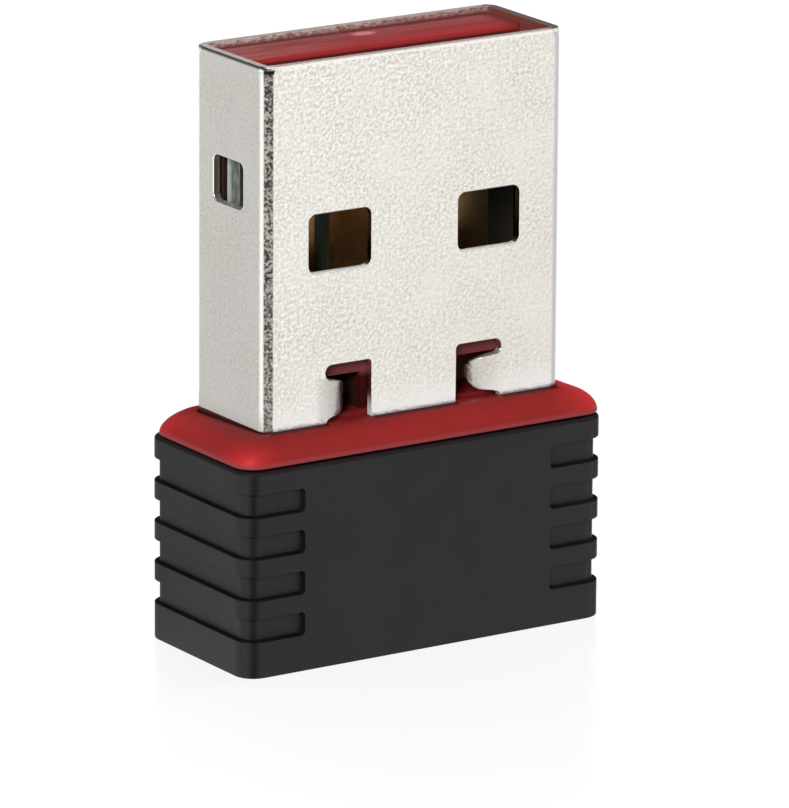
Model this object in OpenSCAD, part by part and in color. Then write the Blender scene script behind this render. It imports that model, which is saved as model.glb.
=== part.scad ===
// Plug-in wireless network adapter, standing on its closed end with the plug's mouth up.
// A folded metal plug shell is clinched to a red plug carrier, which snaps into a black housing cap.
// One circuit board runs from the housing up into the plug, where it carries the four contacts.
// Sizes are in millimetres. The origin is the centre of the closed end, +Z runs to the mouth,
// and the contacts face -Y.

/* [Housing cap] */
// Width of the housing
housing_w = 14.65; // [14.4:0.05:17]
// Thickness of the housing
housing_t = 6.45; // [6.2:0.05:8]
// Height of the housing up to the collar
housing_h = 7.2; // [7:0.1:9]
// Plan corner radius of the housing
housing_r = 0.85; // [0.6:0.05:1.5]
// Radius along the edge of the closed end
housing_end_r = 0.06; // [0.03:0.01:0.4]
// Radius along the edge of the open end
housing_rim_r = 0.1; // [0.05:0.01:0.2]
// Thickness of the side walls
wall_t = 0.9; // [0.8:0.05:1]
// Thickness of the closed end
floor_t = 0.9; // [0.6:0.05:1.2]
// Corner radius inside the housing
cavity_r = 0.3; // [0.1:0.05:0.6]

/* [Grip grooves] */
// Number of grooves on each end of the housing
groove_count = 4; // [2:1:5]
// Height of a groove
groove_h = 0.78; // [0.4:0.02:0.9]
// Depth of a groove
groove_d = 0.2; // [0.1:0.02:0.3]
// Plain band below the lowest groove
groove_base_h = 1.3; // [0.6:0.02:2]
// Plain band above the highest groove
groove_top_h = 0.78; // [0.4:0.02:1.4]
// Width of the plain field between the two sets of grooves
field_w = 9.75; // [7:0.05:11]

/* [Collar] */
// Height of the collar's top above the housing
collar_h = 1.05; // [1.05:0.05:1.6]
// Height of the parting gap between the housing and the collar
parting_h = 0.15; // [0.1:0.01:0.18]
// Step from the collar's outline in to the neck that stands in the gap
neck_inset = 0.35; // [0.25:0.05:0.45]
// Step from the housing's outline in to the collar's
collar_inset = 0.05; // [0:0.05:0.2]
// Plan corner radius of the collar, across its thickness
collar_r = 1; // [0.8:0.05:1.2]
// Radius over the collar's upper edge, along its long sides
collar_dome_r = 0.75; // [0.4:0.05:0.75]
// Radius under the collar's lower edge, along its long sides
collar_foot_r = 0.1; // [0.05:0.01:0.12]
// Ratio of the collar's edge radii across its ends to those along its long sides
collar_end_ratio = 1.7; // [1:0.1:1.8]

/* [Plug shell] */
// Width of the plug shell
plug_w = 12; // [11.8:0.1:12.3]
// Thickness of the plug shell
plug_t = 4.5; // [4.4:0.1:4.7]
// Height of the plug shell above the collar
plug_reach = 12.57; // [12:0.01:15]
// Thickness of the shell's sheet metal
sheet_t = 0.3; // [0.25:0.05:0.35]
// Outside radius of the shell's folds
shell_r = 0.42; // [0.4:0.02:0.7]
// Depth that the shell sinks into the collar
shell_seat = 0.35; // [0.2:0.05:0.45]
// Opening of the seam where the sheet's two ends meet
seam_gap = 0.05; // [0.03:0.01:0.1]
// Reach of the seam's dovetail
dovetail_w = 0.9; // [0.6:0.1:1]
// Height of the seam's dovetail at its root
dovetail_h = 1.2; // [0.8:0.1:1.6]
// Flare of the dovetail towards its end, at its top and at its bottom
dovetail_flare = 0.3; // [0.2:0.05:0.4]

/* [Shell windows] */
// Width of a latch window
window_w = 2.5; // [2:0.1:3]
// Height of a latch window
window_h = 2.04; // [1.6:0.02:2.4]
// Distance from the mouth down to the latch windows
window_drop = 5.26; // [4.8:0.02:5.8]
// Distance between the centres of a face's two latch windows
window_span = 6; // [5.4:0.1:6.4]
// Corner radius of a latch window
window_r = 0.28; // [0.1:0.02:0.5]
// Width of a side window
side_window_w = 1.92; // [1.4:0.02:2.2]
// Height of a side window
side_window_h = 1.6; // [1.2:0.05:2]
// Distance from the mouth down to the side windows
side_window_drop = 3.55; // [3:0.05:4.5]
// Corner radius of a side window
side_window_r = 0.25; // [0.1:0.05:0.4]

/* [Clinch tabs] */
// Distance from the centre line to the line where a tab starts to bend
tab_root_x = 3.5; // [3.4:0.05:3.8]
// Outside radius of a tab's bend
tab_bend_r = 1.16; // [1:0.02:1.3]
// Angle that a tab is bent through
tab_bend = 64; // [40:1:70]
// Height of a tab's lower edge above the collar
tab_lift = 0.19; // [0.1:0.01:0.3]
// Height of a tab at its root
tab_h = 1.29; // [1:0.01:1.5]
// Drop of a tab's upper edge from its root to its free end
tab_slope = 0.38; // [0.1:0.02:0.5]
// Radius on the lower corner of a tab's free end
tab_corner_r = 0.36; // [0.1:0.02:0.4]
// Height of the slot above a tab
slot_h = 0.52; // [0.3:0.02:0.6]
// Reach of that slot past the tab's root
slot_over = 0.06; // [0:0.02:0.2]
// Radius on the slot's inner upper corner
slot_corner_r = 0.16; // [0.05:0.01:0.25]
// Width of the plain strip between a face's two tabs
strip_w = 3.44; // [3:0.02:3.6]

/* [Plug carrier] */
// Gap between the carrier and the inside of the shell
carrier_gap = 0.05; // [0.03:0.01:0.1]
// Height of the carrier's block above the collar
block_h = 2.45; // [2.25:0.05:3]
// Distance from the mouth down to the end of the tongue
tongue_recess = 0.25; // [0.1:0.05:0.5]
// Height of the lip that covers the end of the board
lip_h = 0.9; // [0.6:0.05:1.2]
// Depth of the skirt inside the housing
skirt_h = 2.3; // [2.1:0.05:2.6]
// Thickness of the skirt
skirt_t = 0.7; // [0.5:0.05:0.75]
// Thickness of the carrier's wall around the space for the board's components
core_wall = 0.45; // [0.35:0.05:0.5]
// Room around each clinched tab
pocket_gap = 0.05; // [0.03:0.01:0.1]
// Width of the block left standing between a pocket and the plain strip
pocket_step = 0.25; // [0.1:0.05:0.4]
// Depth of the pockets on the contact side
pocket_d = 0.95; // [0.7:0.05:1.2]
// Depth of the pockets on the far side
far_pocket_d = 0.6; // [0.55:0.05:0.7]

/* [Snap fit] */
// Gap between the skirt and the housing
skirt_gap = 0.05; // [0.03:0.01:0.1]
// Length of a snap ridge
snap_w = 2.4; // [1.6:0.1:3]
// Height of a snap ridge at its root
snap_h = 0.6; // [0.45:0.05:0.8]
// Height of the slope above the ridge's crest
snap_slope_h = 0.2; // [0.1:0.05:0.25]
// Height of the ridge's crest
snap_crest_h = 0.1; // [0.05:0.05:0.15]
// Reach of a snap ridge past the skirt
snap_d = 0.2; // [0.1:0.02:0.25]
// Distance from the collar down to a snap ridge
snap_drop = 1.55; // [1.3:0.05:1.6]
// Room around a snap ridge in its recess
snap_gap = 0.05; // [0.03:0.01:0.1]

/* [Circuit board] */
// Thickness of the board
board_t = 0.8; // [0.6:0.05:0.9]
// Open height between the shell and the contacts
plug_gap = 1.95; // [1.9:0.01:2]
// Gap between the board's side edges and the shell
board_side_gap = 0.15; // [0.1:0.05:0.3]
// Clearance around the board where the carrier and the rails hold it
board_clear = 0.05; // [0.02:0.01:0.08]
// Chamfer on the corners of the board's plug end
board_chamfer = 0.3; // [0.1:0.1:0.6]
// Width of each rail that holds the board's foot
rail_w = 1.2; // [0.8:0.1:1.4]
// Distance between the centres of the two rails
rail_span = 9.6; // [9.4:0.1:9.9]
// Height of the rails above the housing's floor
rail_h = 1.3; // [1:0.1:1.6]
// Thickness of each rail's lips
rail_lip_t = 0.6; // [0.4:0.05:0.8]
// Height of the rails' seat for the board above the housing's floor
rail_seat_h = 0.25; // [0.1:0.05:0.4]

/* [Contacts and aerial] */
// Thickness of the plated contacts and of the aerial's copper
plating_t = 0.05; // [0.03:0.01:0.06]
// Distance from the centre line to the middle of an outer contact
outer_contact_x = 3.53; // [3.4:0.01:3.8]
// Width of an outer contact
outer_contact_w = 1.86; // [1.2:0.02:1.9]
// Length of an outer contact
outer_contact_l = 7.4; // [6.5:0.1:8]
// Distance from the centre line to the middle of an inner contact
inner_contact_x = 1.15; // [1.05:0.01:1.2]
// Width of an inner contact
inner_contact_w = 1.7; // [1:0.02:1.8]
// Length of an inner contact
inner_contact_l = 6.4; // [5.5:0.1:7]
// Distance from the carrier's block up to the contacts
contact_rise = 1.1; // [0.5:0.1:1.2]
// Width of the aerial's folded trace
aerial_w = 7.4; // [6.8:0.1:7.6]
// Height of the aerial's folds
aerial_h = 1.3; // [1:0.05:1.4]
// Width of the aerial's copper
trace_w = 0.34; // [0.2:0.02:0.4]
// Number of the aerial's folds
aerial_folds = 6; // [4:1:7]
// Distance from the board's foot up to the aerial
aerial_rise = 0.2; // [0.1:0.05:0.3]

/* [Components] */
// Side of the square radio chip
chip_w = 5; // [4:0.1:5.1]
// Thickness of the radio chip's body
chip_t = 0.8; // [0.6:0.05:1]
// Distance from the board's foot up to the radio chip
chip_rise = 1.8; // [1.8:0.05:2]
// Number of terminals along each side of the radio chip
chip_pads = 10; // [6:1:12]
// Width of a terminal of the radio chip
chip_pad_w = 0.22; // [0.15:0.01:0.25]
// Length of a terminal of the radio chip
chip_pad_l = 0.4; // [0.3:0.05:0.5]
// Side of the pad under the middle of the radio chip
chip_slug_w = 3.5; // [2.6:0.1:3.6]
// Stand-off of the radio chip and of the leaded parts from the board
stand_off = 0.05; // [0.03:0.01:0.1]
// Room left around the components
part_gap = 0.1; // [0.05:0.05:0.15]
// Width and height of the crystal
crystal_size = [2, 2.5]; // [1.6:0.1:2.6]
// Thickness of the crystal's base
crystal_base_t = 0.35; // [0.2:0.05:0.5]
// Thickness of the crystal's lid
crystal_lid_t = 0.25; // [0.15:0.05:0.4]
// Step from the crystal's base in to its lid
crystal_lid_inset = 0.12; // [0.05:0.01:0.2]
// Length, width and thickness of the power inductor
inductor_size = [2, 1.6, 0.95]; // [0.8:0.05:2.2]
// Length, width and thickness of a capacitor
capacitor_size = [1.0, 0.5, 0.5]; // [0.3:0.05:1.1]
// Length, width and thickness of a resistor
resistor_size = [1.0, 0.5, 0.35]; // [0.3:0.05:1.1]
// Length, width and thickness of the aerial's filter
filter_size = [1.6, 0.7, 0.6]; // [0.5:0.05:1.8]
// Share of a small part's length that each end cap takes
cap_share = 0.22; // [0.15:0.01:0.3]
// Length, width and thickness of the voltage regulator's body
regulator_size = [2.9, 1.5, 0.95]; // [0.8:0.05:3]
// Distance from the carrier's skirt down to the regulator's body
regulator_drop = 0.2; // [0.1:0.05:0.3]
// Width of a regulator lead
lead_w = 0.4; // [0.3:0.05:0.5]
// Thickness of a regulator lead
lead_t = 0.15; // [0.1:0.01:0.2]
// Reach of a regulator lead past the body
lead_reach = 0.55; // [0.45:0.05:0.6]
// Distance between neighbouring regulator leads
lead_pitch = 0.95; // [0.9:0.05:1]

/* [Hidden] */
$fn = 64;

// Colours as the photograph shows them, and as such parts usually are
black_plastic = [0.17, 0.17, 0.18];
red_plastic = [0.62, 0.13, 0.13];
nickel = [0.82, 0.81, 0.78];
board_green = [0.12, 0.3, 0.2];
gold = [0.78, 0.62, 0.3];
copper = [0.72, 0.45, 0.25];
chip_black = [0.1, 0.1, 0.11];
tin = [0.75, 0.75, 0.76];
ceramic_tan = [0.72, 0.6, 0.45];
ferrite_grey = [0.3, 0.3, 0.32];
filter_white = [0.85, 0.85, 0.82];

// Levels along the plug's axis
collar_foot = housing_h + parting_h;
collar_top = housing_h + collar_h;
mouth_z = collar_top + plug_reach;
shell_foot = collar_top - shell_seat;
block_top = collar_top + block_h;
tongue_top = mouth_z - tongue_recess;
board_top = tongue_top - lip_h - board_clear;
rail_seat_z = floor_t + rail_seat_h;
board_foot = rail_seat_z + board_clear;
skirt_foot = housing_h - skirt_h;
window_z = mouth_z - window_drop - window_h / 2;
side_window_z = mouth_z - side_window_drop - side_window_h / 2;
groove_pitch = (housing_h - groove_base_h - groove_top_h - groove_h) / (groove_count - 1);
snap_top = housing_h - snap_drop;
snap_crest = snap_top - snap_slope_h;

// Sections of the nested pieces
cavity_w = housing_w - 2 * wall_t;
cavity_t = housing_t - 2 * wall_t;
skirt_w = cavity_w - 2 * skirt_gap;
skirt_depth = cavity_t - 2 * skirt_gap;
skirt_r = cavity_r;
collar_w = housing_w - 2 * collar_inset;
collar_t = housing_t - 2 * collar_inset;
neck_w = collar_w - 2 * neck_inset;
neck_t = collar_t - 2 * neck_inset;
bore_w = plug_w - 2 * sheet_t;
bore_t = plug_t - 2 * sheet_t;
bore_r = shell_r - sheet_t;
block_w = bore_w - 2 * carrier_gap;
block_t = bore_t - 2 * carrier_gap;
block_face = block_t / 2;
shell_face = plug_t / 2;

// The board and what it carries
contact_face = plug_gap - bore_t / 2;
board_front = contact_face + plating_t;
board_back = board_front + board_t;
board_w = bore_w - 2 * board_side_gap;
slot_front = contact_face - board_clear;
slot_back = board_back + board_clear;
contact_foot = block_top + contact_rise;
chip_z = board_foot + chip_rise + chip_w / 2;
regulator_z = skirt_foot - regulator_drop - regulator_size[1] / 2;
core_w = block_w - 2 * core_wall;
core_t = block_t - 2 * core_wall;
core_top = board_foot + chip_rise + chip_w + part_gap;
aerial_foot = board_foot + aerial_rise;
aerial_step = (aerial_w - trace_w) / aerial_folds;

// Middles of the components beside the radio chip, seen from the contact side
column_x = (chip_w + inductor_size[0]) / 2 + 2 * part_gap;
inductor_spot = [-column_x, chip_z + chip_w / 2 - inductor_size[1] / 2];
crystal_spot = [column_x, chip_z + chip_w / 2 - crystal_size[1] / 2];
filter_spot = [column_x, chip_z - chip_w / 2 + filter_size[1] / 2];
part_pitch = capacitor_size[1] + 3 * part_gap;
inductor_row = inductor_spot[1] - (inductor_size[1] + capacitor_size[1]) / 2 - 2 * part_gap;
front_capacitor_spots = concat(
    [for (i = [0:2]) [-column_x, inductor_row - i * part_pitch]],
    [[column_x, crystal_spot[1] - (crystal_size[1] + capacitor_size[1]) / 2 - 2 * part_gap]]
);

// Middles of the small parts on the far side of the board
far_column_x = (regulator_size[0] + resistor_size[0]) / 2 + 3 * part_gap;
far_resistor_spots = [for (side = [-1, 1], i = [0, 1]) [side * far_column_x, regulator_z + i * part_pitch]];
far_capacitor_spots = [for (side = [-1, 1]) [side * far_column_x, regulator_z + 2 * part_pitch]];

// The bent tabs
tab_foot = collar_top + tab_lift;
tab_top = tab_foot + tab_h;
tab_end_x = tab_root_x - tab_bend_r * sin(tab_bend);
slot_end_x = tab_root_x + slot_over;
slot_top = tab_top + slot_h;
pocket_inner_x = strip_w / 2 + pocket_step;
pocket_outer_x = tab_root_x + pocket_gap;

// A rectangle with round corners, centred
module rounded_rect(w, h, r) {
    square([w - 2 * r, h], center = true);
    square([w, h - 2 * r], center = true);
    for (x = [-1, 1], y = [-1, 1])
        translate([x * (w / 2 - r), y * (h / 2 - r)])
            circle(r);
}

// Extrudes an outline drawn in X and Z from y0 to y1
module along_y(y0, y1) {
    translate([0, y1, 0])
        rotate([90, 0, 0])
            linear_extrude(y1 - y0)
                children();
}

// Extrudes an outline drawn in Y and Z from x0 to x1
module along_x(x0, x1) {
    translate([x0, 0, 0])
        rotate([90, 0, 90])
            linear_extrude(x1 - x0)
                children();
}

// Extrudes an outline drawn in X and Y from z0 to z1
module along_z(z0, z1) {
    translate([0, 0, z0])
        linear_extrude(z1 - z0)
            children();
}

// Repeats a shape that stands at positive X on the other side of the centre line
module both_sides() {
    children();
    mirror([1, 0, 0])
        children();
}

// A quarter of a disc, in the corner between +X and +Y
module quarter_disc(r) {
    intersection() {
        circle(r);
        square(r);
    }
}

// Section through a rim: flat inside, and rounded along its outer upper and lower edges
module rim_section(reach, h, top_r, foot_r) {
    square([reach - top_r, h]);
    square([reach - foot_r, h - top_r]);
    translate([0, foot_r])
        square([reach, h - top_r - foot_r]);
    translate([reach - top_r, h - top_r])
        quarter_disc(top_r);
    translate([reach - foot_r, foot_r])
        mirror([0, 1])
            quarter_disc(foot_r);
}

// A block with round plan corners whose upper and lower edges are rounded as well
module soft_block(w, t, h, plan_r, top_r, foot_r) {
    inner_w = w - 2 * plan_r;
    inner_t = t - 2 * plan_r;
    translate([-inner_w / 2, -inner_t / 2, 0])
        cube([inner_w, inner_t, h]);
    for (turn = [0, 180])
        rotate([0, 0, turn]) {
            translate([-inner_w / 2, inner_t / 2, 0])
                rotate([90, 0, 90])
                    linear_extrude(inner_w)
                        rim_section(plan_r, h, top_r, foot_r);
            translate([inner_w / 2, inner_t / 2, 0])
                rotate([90, 0, 0])
                    linear_extrude(inner_t)
                        rim_section(plan_r, h, top_r, foot_r);
            translate([inner_w / 2, inner_t / 2, 0])
                rotate_extrude(angle = 90)
                    rim_section(plan_r, h, top_r, foot_r);
            translate([-inner_w / 2, inner_t / 2, 0])
                rotate([0, 0, 90])
                    rotate_extrude(angle = 90)
                        rim_section(plan_r, h, top_r, foot_r);
        }
}

// The end outlines that one groove cuts away from the housing
module groove_section() {
    difference() {
        both_sides()
            translate([field_w / 2, -housing_t])
                square([housing_w, 2 * housing_t]);
        rounded_rect(housing_w - 2 * groove_d, housing_t - 2 * groove_d, housing_r - groove_d);
    }
}

// Section of a snap ridge at the skirt's right end, grown by a gap to give its recess
module snap_section(gap) {
    polygon([
        [skirt_w / 2 - gap, snap_top + gap],
        [skirt_w / 2 + snap_d + gap, snap_crest + gap],
        [skirt_w / 2 + snap_d + gap, snap_crest - snap_crest_h - gap],
        [skirt_w / 2 - gap, snap_top - snap_h - gap]
    ]);
}

// A channel on the housing's floor that takes the board's foot
module board_rail() {
    groove_t = board_t + 2 * board_clear;
    rail_t = groove_t + 2 * rail_lip_t;
    board_mid = (board_front + board_back) / 2;
    translate([rail_span / 2 - rail_w / 2, board_mid, floor_t])
        difference() {
            translate([0, -rail_t / 2, 0])
                cube([rail_w, rail_t, rail_h]);
            translate([-rail_w, -groove_t / 2, rail_seat_h])
                cube([3 * rail_w, groove_t, rail_h]);
        }
}

module housing_cap() {
    color(black_plastic) {
        difference() {
            soft_block(housing_w, housing_t, housing_h, housing_r, housing_rim_r, housing_end_r);
            along_z(floor_t, housing_h + wall_t)
                rounded_rect(cavity_w, cavity_t, cavity_r);
            for (i = [0:groove_count - 1])
                along_z(groove_base_h + i * groove_pitch, groove_base_h + i * groove_pitch + groove_h)
                    groove_section();
            both_sides()
                along_y(-snap_w / 2 - snap_gap, snap_w / 2 + snap_gap)
                    snap_section(snap_gap);
        }
        both_sides()
            board_rail();
    }
}

// Outline of the slot around the right-hand tab, in X and Z
module slot_outline() {
    slot_r = slot_h / 2;
    strip_x = strip_w / 2;
    polygon([
        [strip_x, shell_foot - shell_seat],
        [strip_x, slot_top - slot_corner_r],
        [strip_x + slot_corner_r, slot_top],
        [slot_end_x - slot_r, slot_top],
        [slot_end_x - slot_r, tab_top],
        [tab_root_x, tab_top],
        [tab_root_x, shell_foot - shell_seat]
    ]);
    translate([slot_end_x - slot_r, tab_top + slot_r])
        circle(slot_r);
    translate([strip_x + slot_corner_r, slot_top - slot_corner_r])
        circle(slot_corner_r);
}

// Outline of the right-hand tab seen from the front, in X and Z
module tab_outline() {
    polygon([
        [tab_end_x, tab_foot + tab_corner_r],
        [tab_end_x, tab_top - tab_slope],
        [tab_root_x, tab_top],
        [tab_root_x, tab_foot],
        [tab_end_x + tab_corner_r, tab_foot]
    ]);
    translate([tab_end_x + tab_corner_r, tab_foot + tab_corner_r])
        circle(tab_corner_r);
}

// Section of the right-hand tab of the contact side, bent inwards, in X and Y
module tab_section() {
    reach = 2 * tab_bend_r;
    translate([tab_root_x, tab_bend_r - shell_face])
        intersection() {
            difference() {
                circle(tab_bend_r);
                circle(tab_bend_r - sheet_t);
            }
            polygon([
                [0, 0],
                [-reach * sin(tab_bend), -reach * cos(tab_bend)],
                [-reach * sin(tab_bend), -reach],
                [0, -reach]
            ]);
        }
}

module clinch_tab() {
    intersection() {
        along_z(tab_foot, tab_top)
            tab_section();
        along_y(-plug_t, plug_t)
            tab_outline();
    }
}

// Outline of the seam's dovetail, in X and Z, grown by a gap
module dovetail_outline(gap) {
    root = dovetail_h / 2 + gap;
    end = root + dovetail_flare;
    polygon([
        [0, window_z - root],
        [dovetail_w + gap, window_z - end],
        [dovetail_w + gap, window_z + end],
        [0, window_z + root]
    ]);
}

// Outline of the seam down the middle of the far side, in X and Z
module seam_outline() {
    foot = shell_foot - shell_seat;
    translate([-dovetail_w / 2, 0])
        difference() {
            union() {
                translate([0, foot])
                    square([seam_gap, mouth_z + shell_seat - foot]);
                dovetail_outline(seam_gap);
            }
            dovetail_outline(0);
        }
}

module plug_shell() {
    color(nickel) {
        difference() {
            along_z(shell_foot, mouth_z)
                difference() {
                    rounded_rect(plug_w, plug_t, shell_r);
                    rounded_rect(bore_w, bore_t, bore_r);
                }
            both_sides()
                along_y(-plug_t, plug_t)
                    translate([window_span / 2, window_z])
                        rounded_rect(window_w, window_h, window_r);
            along_x(-plug_w, plug_w)
                translate([0, side_window_z])
                    rounded_rect(side_window_w, side_window_h, side_window_r);
            both_sides()
                along_y(-plug_t, plug_t)
                    slot_outline();
            along_y(0, plug_t)
                seam_outline();
        }
        both_sides() {
            clinch_tab();
            mirror([0, 1, 0])
                clinch_tab();
        }
    }
}

// Plan of the groove in the collar that the shell's foot stands in, left whole below the tabs
module seat_section() {
    difference() {
        rounded_rect(plug_w + 2 * carrier_gap, plug_t + 2 * carrier_gap, shell_r + carrier_gap);
        rounded_rect(block_w, block_t, bore_r);
        both_sides()
            translate([strip_w / 2 + carrier_gap, -plug_t])
                square([tab_root_x - strip_w / 2 - 2 * carrier_gap, 2 * plug_t]);
    }
}

// The domed collar, with its edges drawn out across its two ends
module collar() {
    translate([0, 0, collar_foot])
        scale([collar_end_ratio, 1, 1])
            soft_block(collar_w / collar_end_ratio, collar_t, collar_top - collar_foot,
                       collar_r, collar_dome_r, collar_foot_r);
}

// The hollow in the carrier's block that the right-hand tab is bent into
module tab_pocket(depth) {
    along_y(-plug_t, depth - block_face)
        translate([pocket_inner_x, tab_foot - pocket_gap])
            square([pocket_outer_x - pocket_inner_x, tab_h + 2 * pocket_gap]);
}

// The room inside the carrier for the board and its components
module core_space() {
    translate([-core_w / 2, -core_t / 2, skirt_foot])
        cube([core_w, core_t, core_top - skirt_foot]);
    translate([-bore_w / 2, slot_front, skirt_foot])
        cube([bore_w, slot_back - slot_front, block_top - skirt_foot]);
}

module plug_carrier() {
    color(red_plastic) {
        difference() {
            union() {
                collar();
                along_z(housing_h, collar_foot)
                    rounded_rect(neck_w, neck_t, collar_r);
                along_z(skirt_foot, housing_h)
                    rounded_rect(skirt_w, skirt_depth, skirt_r);
            }
            along_z(shell_foot, collar_top + shell_seat)
                seat_section();
            along_z(skirt_foot - skirt_t, housing_h)
                rounded_rect(skirt_w - 2 * skirt_t, skirt_depth - 2 * skirt_t, skirt_r);
            core_space();
        }
        difference() {
            along_z(collar_top, block_top)
                rounded_rect(block_w, block_t, bore_r);
            core_space();
            both_sides() {
                tab_pocket(pocket_d);
                mirror([0, 1, 0])
                    tab_pocket(far_pocket_d);
            }
        }
        translate([-block_w / 2, slot_back, block_top])
            cube([block_w, block_face - slot_back, tongue_top - block_top]);
        translate([-block_w / 2, contact_face, tongue_top - lip_h])
            cube([block_w, slot_back - contact_face, lip_h]);
        both_sides()
            along_y(-snap_w / 2, snap_w / 2)
                snap_section(0);
    }
}

module circuit_board() {
    half_w = board_w / 2;
    color(board_green)
        along_y(board_front, board_back)
            polygon([
                [-half_w, board_foot],
                [half_w, board_foot],
                [half_w, board_top - board_chamfer],
                [half_w - board_chamfer, board_top],
                [board_chamfer - half_w, board_top],
                [-half_w, board_top - board_chamfer]
            ]);
}

// A contact pad on the face of the board
module contact(x, w, l) {
    color(gold)
        translate([x - w / 2, contact_face, contact_foot])
            cube([w, plating_t, l]);
}

module power_contact() {
    contact(-outer_contact_x, outer_contact_w, outer_contact_l);
}

module data_minus_contact() {
    contact(-inner_contact_x, inner_contact_w, inner_contact_l);
}

module data_plus_contact() {
    contact(inner_contact_x, inner_contact_w, inner_contact_l);
}

module ground_contact() {
    contact(outer_contact_x, outer_contact_w, outer_contact_l);
}

module aerial_trace() {
    bar_l = aerial_step + trace_w;
    feed_top = chip_z - chip_w / 2 - part_gap;
    color(copper)
        translate([-aerial_w / 2, contact_face, 0]) {
            for (i = [0:aerial_folds]) {
                leg_top = i == aerial_folds ? feed_top : aerial_foot + aerial_h;
                translate([i * aerial_step, 0, aerial_foot])
                    cube([trace_w, plating_t, leg_top - aerial_foot]);
            }
            for (i = [0:aerial_folds - 1]) {
                rise = i % 2 == 0 ? aerial_h - trace_w : 0;
                translate([i * aerial_step, 0, aerial_foot + rise])
                    cube([bar_l, plating_t, trace_w]);
            }
        }
}

// Places a part on the contact side of the board, with the part's own +Z away from the board
module on_front(spot) {
    translate([spot[0], board_front, spot[1]])
        rotate([90, 0, 0])
            children();
}

// Places a part on the far side of the board, with the part's own +Z away from the board
module on_back(spot) {
    translate([spot[0], board_back, spot[1]])
        rotate([90, 0, 180])
            children();
}

// The middle of a small two-ended part, between its end caps
module part_middle(size) {
    middle_l = size[0] * (1 - 2 * cap_share);
    translate([-middle_l / 2, -size[1] / 2, 0])
        cube([middle_l, size[1], size[2]]);
}

// The metal caps on the two ends of a small part
module part_caps(size) {
    cap_l = size[0] * cap_share;
    for (x = [-size[0] / 2, size[0] / 2 - cap_l])
        translate([x, -size[1] / 2, 0])
            cube([cap_l, size[1], size[2]]);
}

module radio_chip() {
    color(chip_black)
        on_front([0, chip_z])
            translate([-chip_w / 2, -chip_w / 2, stand_off])
                cube([chip_w, chip_w, chip_t]);
}

module radio_chip_pads() {
    row = chip_w - 2 * (chip_pad_l + chip_pad_w);
    pitch = row / (chip_pads - 1);
    color(tin)
        on_front([0, chip_z]) {
            translate([-chip_slug_w / 2, -chip_slug_w / 2, 0])
                cube([chip_slug_w, chip_slug_w, stand_off]);
            for (turn = [0:90:270], i = [0:chip_pads - 1])
                rotate([0, 0, turn])
                    translate([chip_w / 2 - chip_pad_l, i * pitch - (row + chip_pad_w) / 2, 0])
                        cube([chip_pad_l, chip_pad_w, stand_off]);
        }
}

module crystal_base() {
    color(ceramic_tan)
        on_front(crystal_spot)
            translate([-crystal_size[0] / 2, -crystal_size[1] / 2, 0])
                cube([crystal_size[0], crystal_size[1], crystal_base_t]);
}

module crystal_lid() {
    lid = [crystal_size[0] - 2 * crystal_lid_inset, crystal_size[1] - 2 * crystal_lid_inset];
    color(nickel)
        on_front(crystal_spot)
            translate([-lid[0] / 2, -lid[1] / 2, crystal_base_t])
                cube([lid[0], lid[1], crystal_lid_t]);
}

module power_inductor() {
    color(ferrite_grey)
        on_front(inductor_spot)
            part_middle(inductor_size);
}

module inductor_caps() {
    color(tin)
        on_front(inductor_spot)
            part_caps(inductor_size);
}

module voltage_regulator() {
    size = regulator_size;
    color(chip_black)
        on_back([0, regulator_z])
            translate([-size[0] / 2, -size[1] / 2, stand_off])
                cube(size);
}

// Side view of one lead, bent from the body's edge down to the board
module lead_section() {
    shoulder = stand_off + regulator_size[2] / 2;
    knee = lead_reach / 2;
    polygon([
        [0, shoulder],
        [knee, shoulder],
        [knee, lead_t],
        [lead_reach, lead_t],
        [lead_reach, 0],
        [knee - lead_t, 0],
        [knee - lead_t, shoulder - lead_t],
        [0, shoulder - lead_t]
    ]);
}

module regulator_leads() {
    color(tin)
        on_back([0, regulator_z])
            for (turn = [0, 180])
                for (i = turn == 0 ? [-1, 1] : [-1, 0, 1])
                    rotate([0, 0, turn])
                        translate([i * lead_pitch - lead_w / 2, regulator_size[1] / 2, 0])
                            rotate([90, 0, 90])
                                linear_extrude(lead_w)
                                    lead_section();
}

module aerial_filter() {
    color(filter_white)
        on_front(filter_spot)
            part_middle(filter_size);
}

module aerial_filter_caps() {
    color(tin)
        on_front(filter_spot)
            part_caps(filter_size);
}

module capacitors() {
    color(ceramic_tan) {
        for (spot = front_capacitor_spots)
            on_front(spot)
                part_middle(capacitor_size);
        for (spot = far_capacitor_spots)
            on_back(spot)
                part_middle(capacitor_size);
    }
}

module capacitor_caps() {
    color(tin) {
        for (spot = front_capacitor_spots)
            on_front(spot)
                part_caps(capacitor_size);
        for (spot = far_capacitor_spots)
            on_back(spot)
                part_caps(capacitor_size);
    }
}

module resistors() {
    color(chip_black)
        for (spot = far_resistor_spots)
            on_back(spot)
                part_middle(resistor_size);
}

module resistor_caps() {
    color(tin)
        for (spot = far_resistor_spots)
            on_back(spot)
                part_caps(resistor_size);
}

housing_cap();
plug_carrier();
plug_shell();
circuit_board();
power_contact();
data_minus_contact();
data_plus_contact();
ground_contact();
aerial_trace();
radio_chip();
radio_chip_pads();
crystal_base();
crystal_lid();
power_inductor();
inductor_caps();
voltage_regulator();
regulator_leads();
aerial_filter();
aerial_filter_caps();
capacitors();
capacitor_caps();
resistors();
resistor_caps();
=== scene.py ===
import math

import bpy
import numpy as np
from mathutils import Matrix, Vector, geometry


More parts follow.
